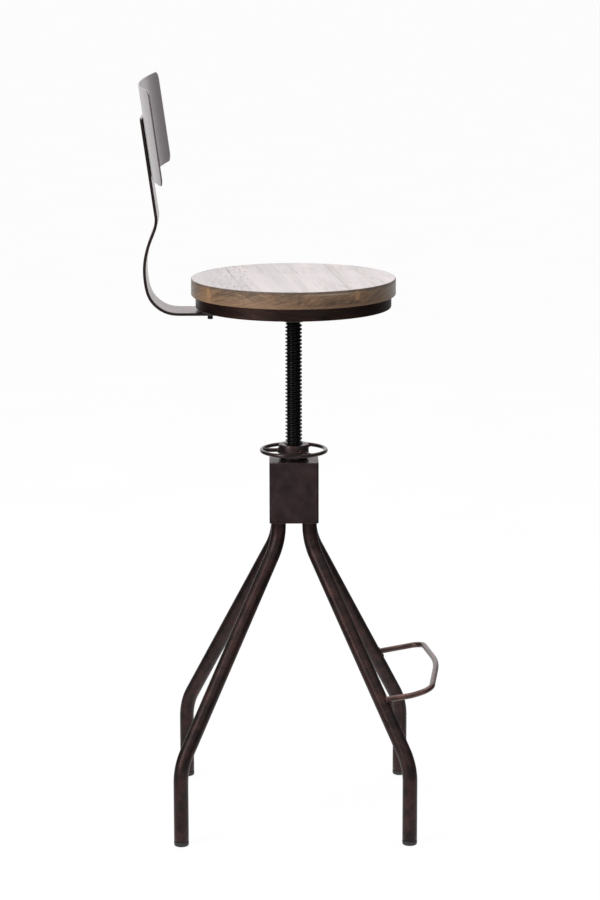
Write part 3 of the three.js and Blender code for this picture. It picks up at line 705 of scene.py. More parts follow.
# --------------------------------------------------------------------- legs
LEG_R, LEG_BORE, LEG_IN = 11.9, 9.9, 25.2
LEG_ZU, LEG_ZL, LEG_RU, LEG_RL = 465.6, 131.2, 88.0, 86.0
for side, (sx, sy) in {"front_left": (1, 1), "front_right": (1, -1), "rear_left": (-1, 1), "rear_right": (-1, -1)}.items():
    c0, c1 = box_mm("foot_cap_" + side)
    l0, l1 = box_mm("leg_" + side)
    cx, cy = (c0[0] + c1[0]) / 2, (c0[1] + c1[1]) / 2
    at = lambda d, z: (sx * d, sy * d, z)
    pts, dirs = bent_line([at(LEG_IN, l1[2]), at(LEG_IN, LEG_ZU), (cx, cy, LEG_ZL), (cx, cy, l0[2] + 0.1)],
                          [LEG_RU, LEG_RL], 16)
    v, f, s = tube(pts, dirs, LEG_R, 40, up=(sx, -sy, 0), bore=LEG_BORE, s0=300 * (2 + sx + 0.6 * sy))
    leg = Build().add(v, f, s)
    leg.add(*bead((sx * LEG_IN, sy * LEG_IN, H0[2] + 0.2), (0, 0, 1), LEG_R + 0.2, 1.5, -115, 115, seed=int(5 + sx + 2 * sy),
                  start=(sx, sy, 0), lumps=26))
    leg.make("leg_tube_" + side, "base", "bronze_steel", ["leg_" + side], sharp=50, mats=[M_LEG])

    prof = rounded_profile([(0, 0), (9.0, 0), (11.4, 0.9), (12.0, 3.2), (12.0, 7.9), (9.5, 7.95), (9.5, 24), (8.3, 26), (0, 26)],
                           [0, 1.5, 1.6, 1.5, 0.5, 0.3, 0.5, 0.5, 0], 4)
    v, f, s = lathe(prof, 48, (cx, cy, 0))
    cap = Build().add(v, f, s)
    cap.make("foot_glide_" + side, "base", "foot_plastic", ["foot_cap_" + side], sharp=50, mats=[M_PLASTIC])

# ----------------------------------------------------------------- footrest
r0, r1 = box_mm("footrest_rod")
ROD = 4.7
rod = [(137.5, -143.4, 228.8), (188, -140, 236.1), (219.5, -137.8, 245.6), (236.15, 0, 252.2),
       (219.5, 137.8, 246.4), (137.5, 143.4, 229.6)]
pts, dirs = bent_line(rod, [120, 24, 300, 24], 16)
v, f, s = tube(pts, dirs, ROD, 28, up=(0, 0, 1))
fr = Build().add(v, f, s)
for sg, p, q in ((-1, rod[0], rod[1]), (1, rod[5], rod[4])):
    d = Vector(q) - Vector(p)
    d.normalize()
    c = Vector(p) + d * 9.4
    fr.add(*bead(c, d, ROD + 0.1, 2.0, seed=30 + sg, lumps=13))
    # a heavier run of weld metal below the bar, down the leg's inner side
    run = [(Vector((152.2 + 1.05 * k, sg * (141.2 + 0.9 * k), 224.6 - 2.25 * k)), 3.7 - 0.46 * k) for k in range(5 if sg < 0 else 2)]
    if sg > 0:
        run = [(c - Vector((0.8, 0, -0.6)), r * 0.72) for c, r in run]
    for k, (c, r) in enumerate(run):
        vv, ff, ss = lathe([(0, -r)] + [(r * math.cos(t), r * math.sin(t)) for t in np.linspace(-1.3, 1.3, 9)] + [(0, r)], 16,
                           tuple(c))
        fr.add(vv, ff, ss)
fr.make("footrest_bar", "base", "rubbed_copper_rod", ["footrest_rod"], sharp=50, mats=[M_ROD])

# ---------------------------------------------------------------- lock ring
w0, w1 = box_mm("lock_thrust_washer")
v, f, s = lathe(rounded_profile([(14.7, w0[2]), (w1[0], w0[2]), (w1[0], w1[2]), (14.7, w1[2])], [0, 0.3, 0.3, 0]), 64)
Build().add(v, f, s).make("ring_thrust_washer", "ring_washer", "dark_fastener", ["lock_thrust_washer"], sharp=45, mats=[M_FAST])

h0, h1 = box_mm("lock_hub")
HUB = float(h1[0])
prof = rounded_profile([(14.4, h0[2] + 1.2), (15.6, h0[2]), (HUB, h0[2]), (HUB, h1[2]), (15.8, h1[2]), (14.4, h1[2] - 1.4)],
                       [0, 0.3, 1.3, 1.5, 0.4, 0], 5)
v, f, s = lathe(prof, 72)
Build().add(v, f, s).make("ring_hub", "lock_ring", "bronze_steel", ["lock_hub"], sharp=50, mats=[M_HEAD])

t0, t1 = box_mm("lock_rim")
RZ = (t0[2] + t1[2]) / 2
WR = (t1[2] - t0[2]) / 2
RR = 52.4
n, m = 96, 18
v, s = [], []
for i in range(n):
    a = 2 * math.pi * i / n
    for j in range(m):
        c = 2 * math.pi * j / m
        r = RR + WR * math.cos(c)
        v.append((r * math.cos(a), r * math.sin(a), RZ + WR * math.sin(c)))
        s.append((WR * math.cos(c) + 3 * math.cos(a), WR * math.sin(c) + 3 * math.sin(a), RR * a if i < n else 0))
s = [(x, y, 60 * math.sin(2 * math.pi * (k // m) / n)) for k, (x, y, z) in enumerate(s)]
rim = Build().add(v, rings_to_faces(n, m, closed_v=True), s)
rim.make("ring_rim", "lock_ring", "rubbed_copper_rod", ["lock_rim"], mats=[M_RING])
for i, deg in enumerate((180, 60, -60)):
    a = math.radians(deg)
    d = Vector((math.cos(a), math.sin(a), 0))
    p0, p1 = d * (HUB - 1.2), d * (RR - 1.0)
    p0.z = p1.z = RZ
    pts, dirs = densify([p0, p1], [d, d], 4)
    v, f, s = tube(pts, dirs, WR, 18, s0=80.0 * i)
    sp = Build().add(v, f, s)
    sp.add(*bead(d * (HUB + 0.5) + Vector((0, 0, RZ)), d, WR + 0.2, 1.3, seed=50 + i, lumps=9))
    sp.add(*bead(d * (RR - WR - 0.1) + Vector((0, 0, RZ)), d, WR - 0.3, 1.1, seed=60 + i, lumps=9))
    sp.make(f"ring_spoke_{i + 1}", "lock_ring", "rubbed_copper_rod", [f"lock_spoke_{i + 1}"], sharp=50, mats=[M_RING])

# ------------------------------------------------------------------ spindle
S0, S1 = box_mm("spindle")
PITCH, CREST, ROOT = 6.0, float(S1[0]), 10.9
TH0, TH1 = float(S0[2]), 822.0
# flank profile of one pitch, its corners eased
prof = [(-0.02, ROOT + 0.30), (0.03, ROOT + 0.06), (0.17, ROOT), (0.31, ROOT + 0.06), (0.36, ROOT + 0.30),
        (0.545, CREST - 0.35), (0.58, CREST - 0.06), (0.62, CREST), (0.72, CREST), (0.76, CREST - 0.06), (0.795, CREST - 0.35)]
K, NT = len(prof), 44
turns = int((TH1 - TH0) / PITCH) + 2
start = TH0 - 1.86 * PITCH
V = []
for t in range(turns + 2):
    for fz, rr in prof:
        for j in range(NT):
            a = 2 * math.pi * j / NT
            z = start + PITCH * (t + fz + j / NT)
            lim = min(z - TH0, TH1 - z)
            r = rr if lim > 3.2 else max(min(rr, CREST - 2.4 + max(lim, 0) * 0.75), 9.4)
            if lim <= 0:
                r = min(r, ROOT - 0.2) if z > TH1 else min(r, CREST - 2.4)
            V.append((r * math.cos(a), r * math.sin(a), min(max(z, TH0), TH1 + 0.0)))
F = []
last = turns * K


def vid(row, j):
    return row * NT + j if j < NT else (row + K) * NT


for r in range(last):
    for j in range(NT):
        F.append((vid(r, j), vid(r, j + 1), vid(r + 1, j + 1), vid(r + 1, j)))
# merge the points folded together at both ends, drop what collapses, close the ends
key, remap, keep = {}, [], []
for q in V:
    kq = tuple(round(c / 0.004) for c in q)
    if kq not in key:
        key[kq] = len(keep)
        keep.append(q)
    remap.append(key[kq])
seen, G = set(), []
for q in F:
    q = [remap[i] for i in q]
    q = [q[i] for i in range(len(q)) if q[i] != q[i - 1]]
    if len(set(q)) < 3 or len(set(q)) != len(q) or frozenset(q) in seen:
        continue
    seen.add(frozenset(q))
    G.append(tuple(q))
V, F = keep, G
sp = Build().add(V, F)
v, f, s = lathe([(0, TH1 - 3), (10.0, TH1 - 3), (10.0, S1[2]), (0, S1[2])], 48)
sp.add(v, f, s)
sp.make("threaded_spindle", "seat_assembly", "black_thread", ["spindle"], sharp=48, mats=[M_THREAD])

e0, e1 = box_mm("spindle_end_bolt")
v, f, s = lathe([(0, e0[2]), (6.4, e0[2]), (7.5, e0[2] + 0.8), (7.5, e0[2] + 5.3), (0, e0[2] + 5.3)], 6)
eb = Build().add(v, f, s)
v, f, s = lathe([(0, e0[2] + 5.0), (4.0, e0[2] + 5.0), (4.0, e1[2]), (0, e1[2])], 24)
eb.add(v, f, s)
eb.make("end_bolt", "seat_assembly", "dark_fastener", ["spindle_end_bolt"], sharp=30, mats=[M_FAST])
w0, w1 = box_mm("stop_washer")
v, f, s = lathe(rounded_profile([(4.4, w0[2]), (w1[0], w0[2]), (w1[0], w1[2]), (4.4, w1[2])], [0, 0.7, 0.7, 0]), 64)
Build().add(v, f, s).make("travel_stop_washer", "spindle_stop", "dark_fastener", ["stop_washer"], sharp=45, mats=[M_FAST])

# boss, plate and weld under the seat
g0, g1 = box_mm("spindle_flange")
q = [(x, y) for x, y in rounded_square(float(g1[0]), 3.0)]


def sq_loop(half, r, z):
    return [(x, y, z) for x, y in rounded_square(half, r)]


zb = g1[2] - 4.7
G = float(g1[0])
loops = [hole(12, zb + 1), hole(19, zb), sq_loop(G - 0.6, 2.4, zb), sq_loop(G, 3, zb + 0.6), sq_loop(G, 3, g1[2] - 0.6),
         sq_loop(G - 0.6, 2.4, g1[2]), hole(12, g1[2])]
v, f = stack(loops)
fl = Build().add(v, f)
v, f, s = lathe(rounded_profile([(10.2, g0[2]), (18.0, g0[2]), (18.0, zb + 0.5), (10.2, zb + 0.5)], [0, 1.4, 0, 0]), 56)
fl.add(v, f, s)
fl.add(*bead((0, 0, zb - 0.4), (0, 0, 1), 18.6, 2.0, seed=8, lumps=22))
fl.make("spindle_boss", "seat_assembly", "bronze_steel", ["spindle_flange"], sharp=45, weighted=True, mats=[M_BRONZE])
c0, c1 = box_mm("spindle_cross_pin")
v, f, s = lathe(rounded_profile([(0, c0[1]), (2.5, c0[1]), (2.5, c1[1]), (0, c1[1])], [0, 0.5, 0.5, 0]), 20,
                (0, 0, (c0[2] + c1[2]) / 2), axis=(0, 1, 0))
Build().add(v, f, s).make("cross_pin", "seat_assembly", "dark_fastener", ["spindle_cross_pin"], sharp=45, mats=[M_FAST])


# --------------------------------------------------------- seat pan, bracket
def slab(name, x0, x1, y0, y1, z0, z1, body, slot, nodes, mat, bev=0.7):
    bm = bmesh.new()
    bmesh.ops.create_cube(bm, size=1.0)
    for q in bm.verts:
        q.co = Vector((x0 + (q.co.x + 0.5) * (x1 - x0), y0 + (q.co.y + 0.5) * (y1 - y0), z0 + (q.co.z + 0.5) * (z1 - z0)))
    up = [e for e in bm.edges if abs(e.verts[0].co.z - e.verts[1].co.z) > 0.5 * (z1 - z0)]
    bmesh.ops.bevel(bm, geom=up, offset=4.0, segments=5, profile=0.5, affect="EDGES")
    flat = [e for e in bm.edges if abs(e.verts[0].co.z - e.verts[1].co.z) < 1e-6]
    bmesh.ops.bevel(bm, geom=flat, offset=bev, segments=2, profile=0.5, affect="EDGES")
    bm.verts.ensure_lookup_table()
    bm.verts.index_update()
    V = [tuple(q.co) for q in bm.verts]
    F = [tuple(x.index for x in q.verts) for q in bm.faces]
    bm.free()
    return Build().add(V, F).make(name, body, slot, nodes, sharp=40, weighted=True, mats=[mat])


k0, k1 = box_mm("seat_bracket_plate")
slab("seat_bracket", k0[0], k1[0], k0[1], k1[1], k0[2], k1[2], "seat_assembly", "bronze_steel", ["seat_bracket_plate"], M_BRONZE)

p0, p1 = box_mm("seat_pan")
PR = float(p1[0])
prof = [(0, p0[2])] + [(r, p0[2]) for r in (40, 80, 120, 150)]
prof += rounded_profile([(150, p0[2]), (PR, p0[2]), (PR, p1[2]), (PR - 2.5, p1[2]), (PR - 2.5, p0[2] + 3), (0, p0[2] + 3)],
                        [0, 2.2, 0.8, 0.8, 1.5, 0], 5)[1:]
v, f, s = lathe(prof, 144)
s = np.array(s)
rad = np.hypot(v[:, 0], v[:, 1])
a = np.arctan2(v[:, 1], v[:, 0])
# brush marks run round the rim
s2 = np.stack([v[:, 2] * 1.0 + 40 * np.cos(a), 40 * np.sin(a) + rad * 0.02, (rad * 0.1) + v[:, 2]], 1)
Build().add(v, f, s2).make("seat_tray", "seat_assembly", "bronze_steel", ["seat_pan"], sharp=45, weighted=True, mats=[M_TRAY])

# ------------------------------------------------------------------- boards
TURN = math.radians(7.0)
D0, D1 = box_mm("seat_board_2")
SEAT_R = 165.0
Z0, Z1 = float(D0[2]), float(D1[2])
prof = [(0, Z0), (155.2, Z0), (155.2, 868.0)]
prof += [(158, 868.0)]
prof += rounded_profile([(158, 868.0), (SEAT_R, 868.0), (SEAT_R, Z1), (150, Z1)], [0, 2.2, 1.9, 0], 6)[1:]
prof += [(r, Z1) for r in np.linspace(150, 8, 22)[1:]] + [(0, Z1)]
dv, df, _ = lathe(prof, 160)
seams = [-200.0, -97.0, -14.0, 69.0, 200.0]
for i in range(4):
    bm = bmesh.new()
    vs = [bm.verts.new(tuple(q)) for q in dv]
    for q in df:
        bm.faces.new([vs[x] for x in q])
    nrm = Vector((math.cos(TURN), math.sin(TURN), 0))
    for c, keep in ((seams[i] + 0.08, 1), (seams[i + 1] - 0.08, -1)):
        if abs(c) > 190:
            continue
        geom = bm.verts[:] + bm.edges[:] + bm.faces[:]
        bmesh.ops.bisect_plane(bm, geom=geom, plane_co=nrm * c, plane_no=nrm * keep, clear_inner=True, dist=1e-4)
        open_edges = [e for e in bm.edges if e.is_boundary]
        made = bmesh.ops.edgenet_fill(bm, edges=open_edges)["faces"]
        rimE = list({e for q in made for e in q.edges})
        bmesh.ops.bevel(bm, geom=rimE, offset=0.55, segments=2, profile=0.5, affect="EDGES", clamp_overlap=True)
    bmesh.ops.triangulate(bm, faces=[q for q in bm.faces if len(q.verts) > 8])
    bmesh.ops.recalc_face_normals(bm, faces=bm.faces)
    bm.verts.ensure_lookup_table()
    bm.verts.index_update()
    V = np.array([tuple(q.co) for q in bm.verts])
    F = [tuple(x.index for x in q.verts) for q in bm.faces]
    bm.free()
    # each board sits a touch below its neighbour and is slightly dished by wear
    r = np.hypot(V[:, 0], V[:, 1])
    drop = [0.12, 0.0, 0.18, 0.06][i]
    top = np.clip((V[:, 2] - (Z1 - 4)) / 4, 0, 1)
    und = 0.10 * np.sin(V[:, 0] * 0.045 + i * 2.1) * np.sin(V[:, 1] * 0.031 + i) + 0.10
    V[:, 2] -= top * (drop + und * 0.9 + 0.25 * np.clip(1 - r / 120, 0, 1) ** 2)
    bd = Build().add(V, F)
    ob = bd.make(f"seat_plank_{i + 1}", "seat_assembly", "weathered_wood", [f"seat_board_{i + 1}"], sharp=42, weighted=True, mats=[M_WOOD])
    me = ob.data
    co = np.zeros(len(me.vertices) * 3, np.float32)
    me.vertices.foreach_get("co", co)
    co = co.reshape(-1, 3).astype(float)
    cc, ss = math.cos(TURN), math.sin(TURN)
    across, along = co[:, 0] * cc + co[:, 1] * ss, -co[:, 0] * ss + co[:, 1] * cc
    off = [(0.115, 0.9, 0.062), (0.040, 2.3, -0.075), (-0.055, 4.1, 0.055), (-0.085, 6.7, -0.060)][i]
    g = np.stack([across + off[0], along + off[1], co[:, 2] - 0.88 + off[2]], 1)
    at = me.attributes.new("grain", "FLOAT_VECTOR", "POINT")
    at.data.foreach_set("vector", g.astype(np.float32).ravel())

# ---------------------------------------------------------------- fasteners
for i in range(1, 5):
    a0, a1 = box_mm(f"strap_bolt_{i}")
    cx, cy = (a0[0] + a1[0]) / 2, (a0[1] + a1[1]) / 2
    prof = rounded_profile([(0, a0[2] + 2.6), (2.1, a0[2] + 2.6), (2.2, a0[2]), (4.3, a0[2]), (4.3, 837.3), (5.5, 837.4), (5.5, 838.75), (2.5, 838.75), (2.5, a1[2]), (0, a1[2])],
                           [0, 0, 0.2, 0.7, 0.3, 0.4, 0.2, 0, 0, 0], 3)
    v, f, s = lathe(prof, 32, (cx, cy, 0))
    Build().add(v, f, s).make(f"strap_screw_{i}", "seat_assembly", "dark_fastener", [f"strap_bolt_{i}"], sharp=45, mats=[M_FAST])
    a0, a1 = box_mm(f"flange_bolt_{i}")
    cx, cy = (a0[0] + a1[0]) / 2, (a0[1] + a1[1]) / 2
    v, f, s = lathe([(0, a0[2]), (4.9, a0[2]), (5.8, a0[2] + 0.7), (5.8, 838.7), (0, 838.7)], 6, (cx, cy, 0))
    hb = Build().add(v, f, s)
    v, f, s = lathe([(0, 838.2), (3, 838.2), (3, a1[2]), (0, a1[2])], 20, (cx, cy, 0))
    hb.add(v, f, s).make(f"flange_screw_{i}", "seat_assembly", "dark_fastener", [f"flange_bolt_{i}"], sharp=30, mats=[M_FAST])
    a0, a1 = box_mm(f"pan_screw_{i}")
    cx, cy = (a0[0] + a1[0]) / 2, (a0[1] + a1[1]) / 2
    prof = rounded_profile([(0, a0[2] + 0.9), (1.2, a0[2] + 0.9), (1.3, a0[2]), (2.6, a0[2] + 0.2), (4.2, a0[2] + 1.6), (4.2, 847.9), (2, 847.9), (2, a1[2]), (0, a1[2])],
                           [0, 0, 0.1, 0.8, 0.8, 0.2, 0, 0, 0], 3)
    v, f, s = lathe(prof, 28, (cx, cy, 0))
    Build().add(v, f, s).make(f"tray_screw_{i}", "seat_assembly", "dark_fastener", [f"pan_screw_{i}"], sharp=45, mats=[M_FAST])

# ----------------------------------------------------------------- backrest
s0, s1 = box_mm("backrest_strap")
LEAN = math.radians(7.9)
KNEE = np.array([-220.7, 992.8])
UP = np.array([-math.sin(LEAN), math.cos(LEAN)])
T = 4.7
BULGE = [(-221.3, 989.0), (-223.0, 980.4), (-226.3, 971.4), (-230.6, 960.8), (-234.1, 951.2), (-236.8, 941.6),
         (-239.0, 931.0), (-240.3, 921.0), (-240.7, 911.0), (-240.3, 901.0), (-239.2, 891.0), (-237.4, 881.0),
         (-234.4, 871.0), (-229.6, 862.0), (-223.0, 854.2), (-215.0, 847.8), (-206.0, 843.0), (-196.0, 840.1), (-184.0, 838.9)]
topS = (s1[2] - KNEE[1]) / UP[1]
on = lambda x: tuple(KNEE + UP * x)
path = [on(topS), on(topS * 0.66), on(topS * 0.33), on(9.0), on(2.5)] + BULGE + [(-150.0, 838.9), (-105.0, 838.9), (s1[0], 838.9)]
P, S = smooth_line(path, 2.2)
P[P[:, 1] < 838.9, 1] = 838.9
tan = np.gradient(P, axis=0)
tan /= np.linalg.norm(tan, axis=1)[:, None]
nor = np.stack([-tan[:, 1], tan[:, 0]], 1)   # towards the sitter and up
HW, RC, eb = float(s1[1]), 5.0, 0.9
L = S[-1]
v, s = [], []
sect = []
for (cx, cy, a0) in ((1, 1, 0), (-1, 1, 90), (-1, -1, 180), (1, -1, 270)):
    for k in range(4):
        a = math.radians(a0 + 30 * k)
        sect.append((cx, cy, math.cos(a), math.sin(a)))
extra = [0.0, 0.35, 0.9, 1.6, 2.4, 3.4, 4.6]
st = sorted(set([*extra, *[L - x for x in (0.0, 0.5, 1.2)], *S[3:-2]]))
Pi = lambda x: np.array([np.interp(x, S, P[:, 0]), np.interp(x, S, P[:, 1])])
Ni = lambda x: np.array([np.interp(x, S, nor[:, 0]), np.interp(x, S, nor[:, 1])])
ns = len(st)
for x in st:
    e = min(x, RC)
    w = HW - (RC - math.sqrt(max(0.0, RC * RC - (RC - e) ** 2)))
    t = T / 2
    ee = min(eb, 0.25 + min(x, L - x) * 0.9)
    c, nn = Pi(x) + Ni(x) * t, Ni(x)
    tt = t - (eb - ee) * 0.6
    for cx, cy, ca, sa in sect:
        y = cx * (w - eb) + eb * ca
        d = cy * (tt - eb) + eb * sa
        v.append((c[0] + nn[0] * d, y, c[1] + nn[1] * d))
        s.append((d, y, x))
m = len(sect)
f = rings_to_faces(ns, m)
f.append(tuple(range(m - 1, -1, -1)))
f.append(tuple(range((ns - 1) * m, ns * m)))
Build().add(v, f, s).make("backrest_bar", "seat_assembly", "bronze_steel", ["backrest_strap"], sharp=40, weighted=True, mats=[M_STRAP])

O = KNEE + UP * ((1060.2 - KNEE[1]) / UP[1])


def back(x, y, z):
    """Backrest frame: x forward off the bar's back face, z up along the lean."""
    return (O[0] + x * math.cos(LEAN) - z * math.sin(LEAN), y, O[1] + x * math.sin(LEAN) + z * math.cos(LEAN))


HALFP, SAG, TP, HP, RCN = 195.7, 22.3, 2.2, 149.0, 14.0
RP = (HALFP ** 2 + SAG ** 2) / (2 * SAG)
X0 = T + 0.23
zz = sorted(set([0, 0.5, 1.2, 2.2, 3.6, 5.2, 7.2, 9.6, 12, 14] + list(np.linspace(14, HP - 14, 22)) +
                [HP - x for x in (0, 0.5, 1.2, 2.2, 3.6, 5.2, 7.2, 9.6, 12, 14)]))
tt = np.linspace(-1, 1, 73)


def pan_pt(y, z, depth):
    a = math.asin(max(-1, min(1, y / RP)))
    rr = RP - depth
    return back(X0 + RP - rr * math.cos(a), rr * math.sin(a), z)


def layer(depth, inset):
    rows = []
    for z in zz:
        e = min(z, HP - z, RCN)
        w = HALFP - (RCN - math.sqrt(max(0, RCN ** 2 - (RCN - e) ** 2))) - inset
        zi = inset + z * (HP - 2 * inset) / HP
        rows.append([(w * t, zi, depth) for t in tt])
    return rows


nz, ny = len(zz), len(tt)
V, SF, F = [], [], []
ids = {}
for name, depth, inset in (("back", 0.0, 0.55), ("front", TP, 0.55)):
    rows = layer(depth, inset)
    ids[name] = len(V)
    for row in rows:
        for y, z, d in row:
            V.append(pan_pt(y, z, d))
            SF.append((d, y, z))
for j in range(nz - 1):
    for i in range(ny - 1):
        a = ids["back"] + j * ny + i
        F.append((a, a + 1, a + ny + 1, a + ny))
        a = ids["front"] + j * ny + i
        F.append((a, a + ny, a + ny + 1, a + 1))
border = [(0, i) for i in range(ny)] + [(j, ny - 1) for j in range(1, nz)] + [(nz - 1, i) for i in range(ny - 2, -1, -1)] + [(j, 0) for j in range(nz - 2, 0, -1)]
full = layer(0, 0.0)
prev = [ids["back"] + j * ny + i for j, i in border]
for depth in (TP * 0.25, TP * 0.75):
    base_i = len(V)
    for j, i in border:
        y, z, _ = full[j][i]
        V.append(pan_pt(y, z, depth))
        SF.append((depth, y, z))
    cur = list(range(base_i, base_i + len(border)))
    for q in range(len(border)):
        w = (q + 1) % len(border)
        F.append((prev[q], cur[q], cur[w], prev[w]))
    prev = cur
cur = [ids["front"] + j * ny + i for j, i in border]
for q in range(len(border)):
    w = (q + 1) % len(border)
    F.append((prev[q], cur[q], cur[w], prev[w]))
Build().add(V, F, SF).make("backrest_plate", "seat_assembly", "bronze_steel", ["backrest_panel"], sharp=50, weighted=True, mats=[M_PANEL])

fwd = (math.cos(LEAN), 0, math.sin(LEAN))
for i, (y, z) in enumerate(((-20, 25), (20, 25), (-20, 80), (20, 80))):
    prof = rounded_profile([(0, 0.02), (4.3, 0.02), (4.5, 0.3), (2.5, 2.4), (2.5, 7.2), (6.0, 7.25), (5.7, 8.6), (3.8, 9.9), (0, 10.4)],
                           [0, 0.2, 0.1, 0, 0, 0.2, 1.2, 1.5, 0], 4)
    v, f, s = lathe(prof, 32, back(0, y, z), axis=fwd)
    Build().add(v, f, s).make(f"plate_rivet_{i + 1}", "seat_assembly", "dark_fastener", [f"panel_rivet_{i + 1}"], sharp=45, mats=[M_FAST])

# ------------------------------------------------------------ floor, lights
def fan(k, x, y, blend=0.10):
    """1 inside the fan behind the stool that a white sweep fills, 0 on the dark sides."""
    az = k.math("ARCTAN2", x, y)
    lo = k.n("MapRange", interpolation_type="SMOOTHSTEP")
    k.put(lo, "Value", az)
    lo.inputs["From Min"].default_value, lo.inputs["From Max"].default_value = FAN[0] - blend, FAN[0] + blend
    hi = k.n("MapRange", interpolation_type="SMOOTHSTEP")
    k.put(hi, "Value", az)
    hi.inputs["From Min"].default_value, hi.inputs["From Max"].default_value = FAN[1] - blend, FAN[1] + blend
    hi.inputs["To Min"].default_value, hi.inputs["To Max"].default_value = 1.0, 0.0
    full = k.math("MULTIPLY", lo.outputs[0], hi.outputs[0])
    wing = k.n("MapRange", interpolation_type="SMOOTHSTEP")
    k.put(wing, "Value", az)
    wing.inputs["From Min"].default_value, wing.inputs["From Max"].default_value = 0.62, 0.86
    wing.inputs["To Min"].default_value, wing.inputs["To Max"].default_value = 0.34, 0.0
    return k.math("MAXIMUM", full, k.math("MULTIPLY", lo.outputs[0], wing.outputs[0]))


def soft(k, v, a, b, ta=0.0, tb=1.0):
    m = k.n("MapRange", interpolation_type="SMOOTHSTEP")
    k.put(m, "Value", v)
    m.inputs["From Min"].default_value, m.inputs["From Max"].default_value = a, b
    m.inputs["To Min"].default_value, m.inputs["To Max"].default_value = ta, tb
    return m.outputs[0]


FAN = (-0.62, 0.34)
SIDE, FRONT = 0.10, 0.34
fm = Nodes("studio_floor")
geo = fm.n("NewGeometry")
sx = fm.n("SeparateXYZ")
fm.link(geo.outputs["Position"], sx.inputs[0])
rad = fm.math("SQRT", fm.math("ADD", fm.math("POWER", sx.outputs[0], 2.0), fm.math("POWER", sx.outputs[1], 2.0)))
near = soft(fm, rad, 0.45, 1.1, 1.0, 0.0)
lit = fm.math("MAXIMUM", fan(fm, sx.outputs[0], sx.outputs[1]), near)
lit = fm.math("MAXIMUM", lit, soft(fm, sx.outputs[1], -2.5, -0.6, FRONT, 0.0))
lit = fm.math("MAXIMUM", lit, SIDE)
seen = fm.n("LightPath")
glow = fm.n("Emission")
fm.put(glow, "Color", fm.mix(1.0, fm.ramp(lit, [(0.0, 0.0), (1.0, 1.0)]), (1.0, 1.0, 1.0), "MULTIPLY"))
glow.inputs["Strength"].default_value = 0.95
paper = fm.n("BsdfDiffuse")
c = fm.n("TexCoord")
fm.put(paper, "Color", fm.ramp(fm.noise(c.outputs["Object"], 3.0, 3.0, 0.5), [(0.3, 0.075), (0.7, 0.085)]))
shine = fm.n("Emission")
shine.inputs["Color"].default_value = (1, 1, 1, 1)
shine.inputs["Strength"].default_value = 0.92
both = fm.n("AddShader")
fm.link(paper.outputs[0], both.inputs[0])
fm.link(shine.outputs[0], both.inputs[1])
pick = fm.n("MixShader")
fm.link(seen.outputs["Is Camera Ray"], pick.inputs[0])
fm.link(glow.outputs[0], pick.inputs[1])
fm.link(both.outputs[0], pick.inputs[2])
fm.link(pick.outputs[0], fm.out.inputs[0])
fm.t.nodes.remove(fm.b)
me = bpy.data.meshes.new("studio_floor")
me.from_pydata([(-90, -90, 0), (90, -90, 0), (90, 90, 0), (-90, 90, 0)], [], [(0, 1, 2, 3)])
floor = bpy.data.objects.new("studio_floor", me)
me.materials.append(fm.m)
bpy.context.scene.collection.objects.link(floor)

scene = bpy.context.scene
world = bpy.data.worlds.new("studio")
scene.world = world
world.use_nodes = True


class Sky(Nodes):
    def __init__(self, tree):
        self.t = tree
        tree.nodes.clear()


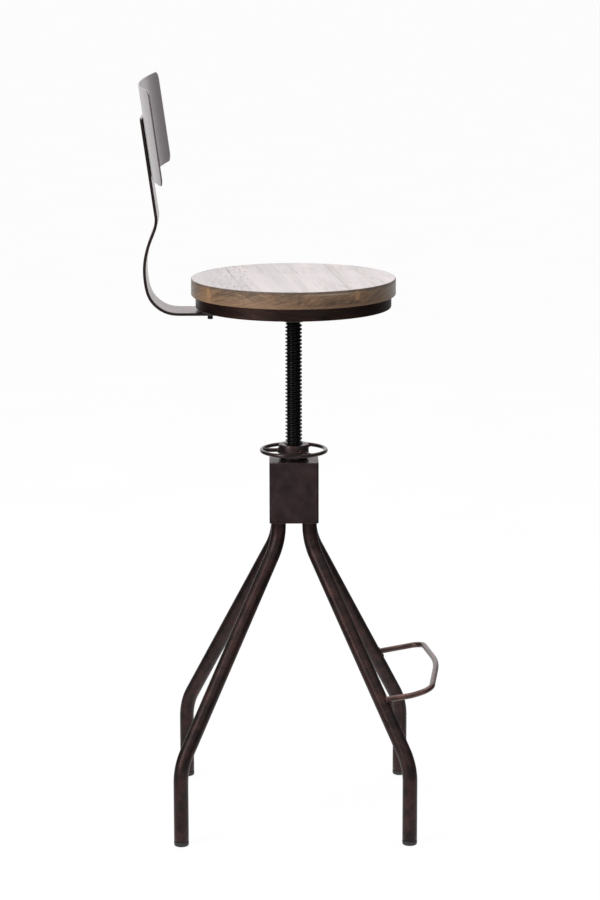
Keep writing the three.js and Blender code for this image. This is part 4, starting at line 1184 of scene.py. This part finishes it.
sky = Sky(world.node_tree)
wo = sky.n("OutputWorld")
bg = sky.n("Background")
tc = sky.n("TexCoord")
sx = sky.n("SeparateXYZ")
sky.link(tc.outputs["Generated"], sx.inputs[0])
lit = fan(sky, sx.outputs[0], sx.outputs[1])
lit = sky.math("MAXIMUM", lit, soft(sky, sx.outputs[2], 0.45, 0.80))
lit = sky.math("MAXIMUM", lit, soft(sky, sx.outputs[1], -0.85, -0.35, FRONT, 0.0))
lit = sky.math("MAXIMUM", lit, SIDE)
sky.put(bg, "Color", sky.ramp(lit, [(0.0, 0.0), (1.0, 1.0)]))
bg.inputs["Strength"].default_value = 1.0
plain = sky.n("Background")
plain.inputs["Color"].default_value = (1, 1, 1, 1)
plain.inputs["Strength"].default_value = 1.0
ray = sky.n("LightPath")
choose = sky.n("MixShader")
sky.link(ray.outputs["Is Camera Ray"], choose.inputs[0])
sky.link(bg.outputs[0], choose.inputs[1])
sky.link(plain.outputs[0], choose.inputs[2])
sky.link(choose.outputs[0], wo.inputs[0])


def area(name, loc, target, size, power, color=(1, 1, 1)):
    li = bpy.data.lights.new(name, "AREA")
    li.shape = "RECTANGLE"
    li.size, li.size_y = size
    li.energy = power
    li.color = color
    ob = bpy.data.objects.new(name, li)
    scene.collection.objects.link(ob)
    ob.location = loc
    ob.rotation_euler = (Vector(target) - Vector(loc)).to_track_quat("-Z", "Y").to_euler()
    return ob


area("key_softbox", (-2.6, -2.4, 1.9), (0, 0, 0.7), (1.3, 2.2), 60)
area("fill_strip", (1.1, -3.6, 1.9), (0, 0, 0.7), (0.35, 2.0), 10)
area("overhead", (0.0, 0.4, 3.2), (0, 0, 0), (2.4, 2.4), 40)

# ------------------------------------------------------------------- camera
a, p, roll = math.radians(-0.658), math.radians(11.639), math.radians(-0.09)
cam_d = bpy.data.cameras.new("camera")
cam = bpy.data.objects.new("camera", cam_d)
scene.collection.objects.link(cam)
fwdv = Vector((-math.sin(a) * math.cos(p), math.cos(a) * math.cos(p), -math.sin(p)))
right = Vector((math.cos(a), math.sin(a), 0))
upv = right.cross(fwdv)
C = Vector((4.67881 * math.sin(a), -4.67881 * math.cos(a), 1.57524)) + right * 0.01015
r2 = right * math.cos(roll) + upv * math.sin(roll)
u2 = upv * math.cos(roll) - right * math.sin(roll)
cam.matrix_world = Matrix(((r2.x, u2.x, -fwdv.x, C.x), (r2.y, u2.y, -fwdv.y, C.y), (r2.z, u2.z, -fwdv.z, C.z), (0, 0, 0, 1)))
cam_d.lens = 2930.49 * 36 / 900
cam_d.sensor_width = 36
cam_d.clip_end = 200
scene.camera = cam
scene.view_settings.view_transform = "Standard"

bpy.context.view_layer.update()
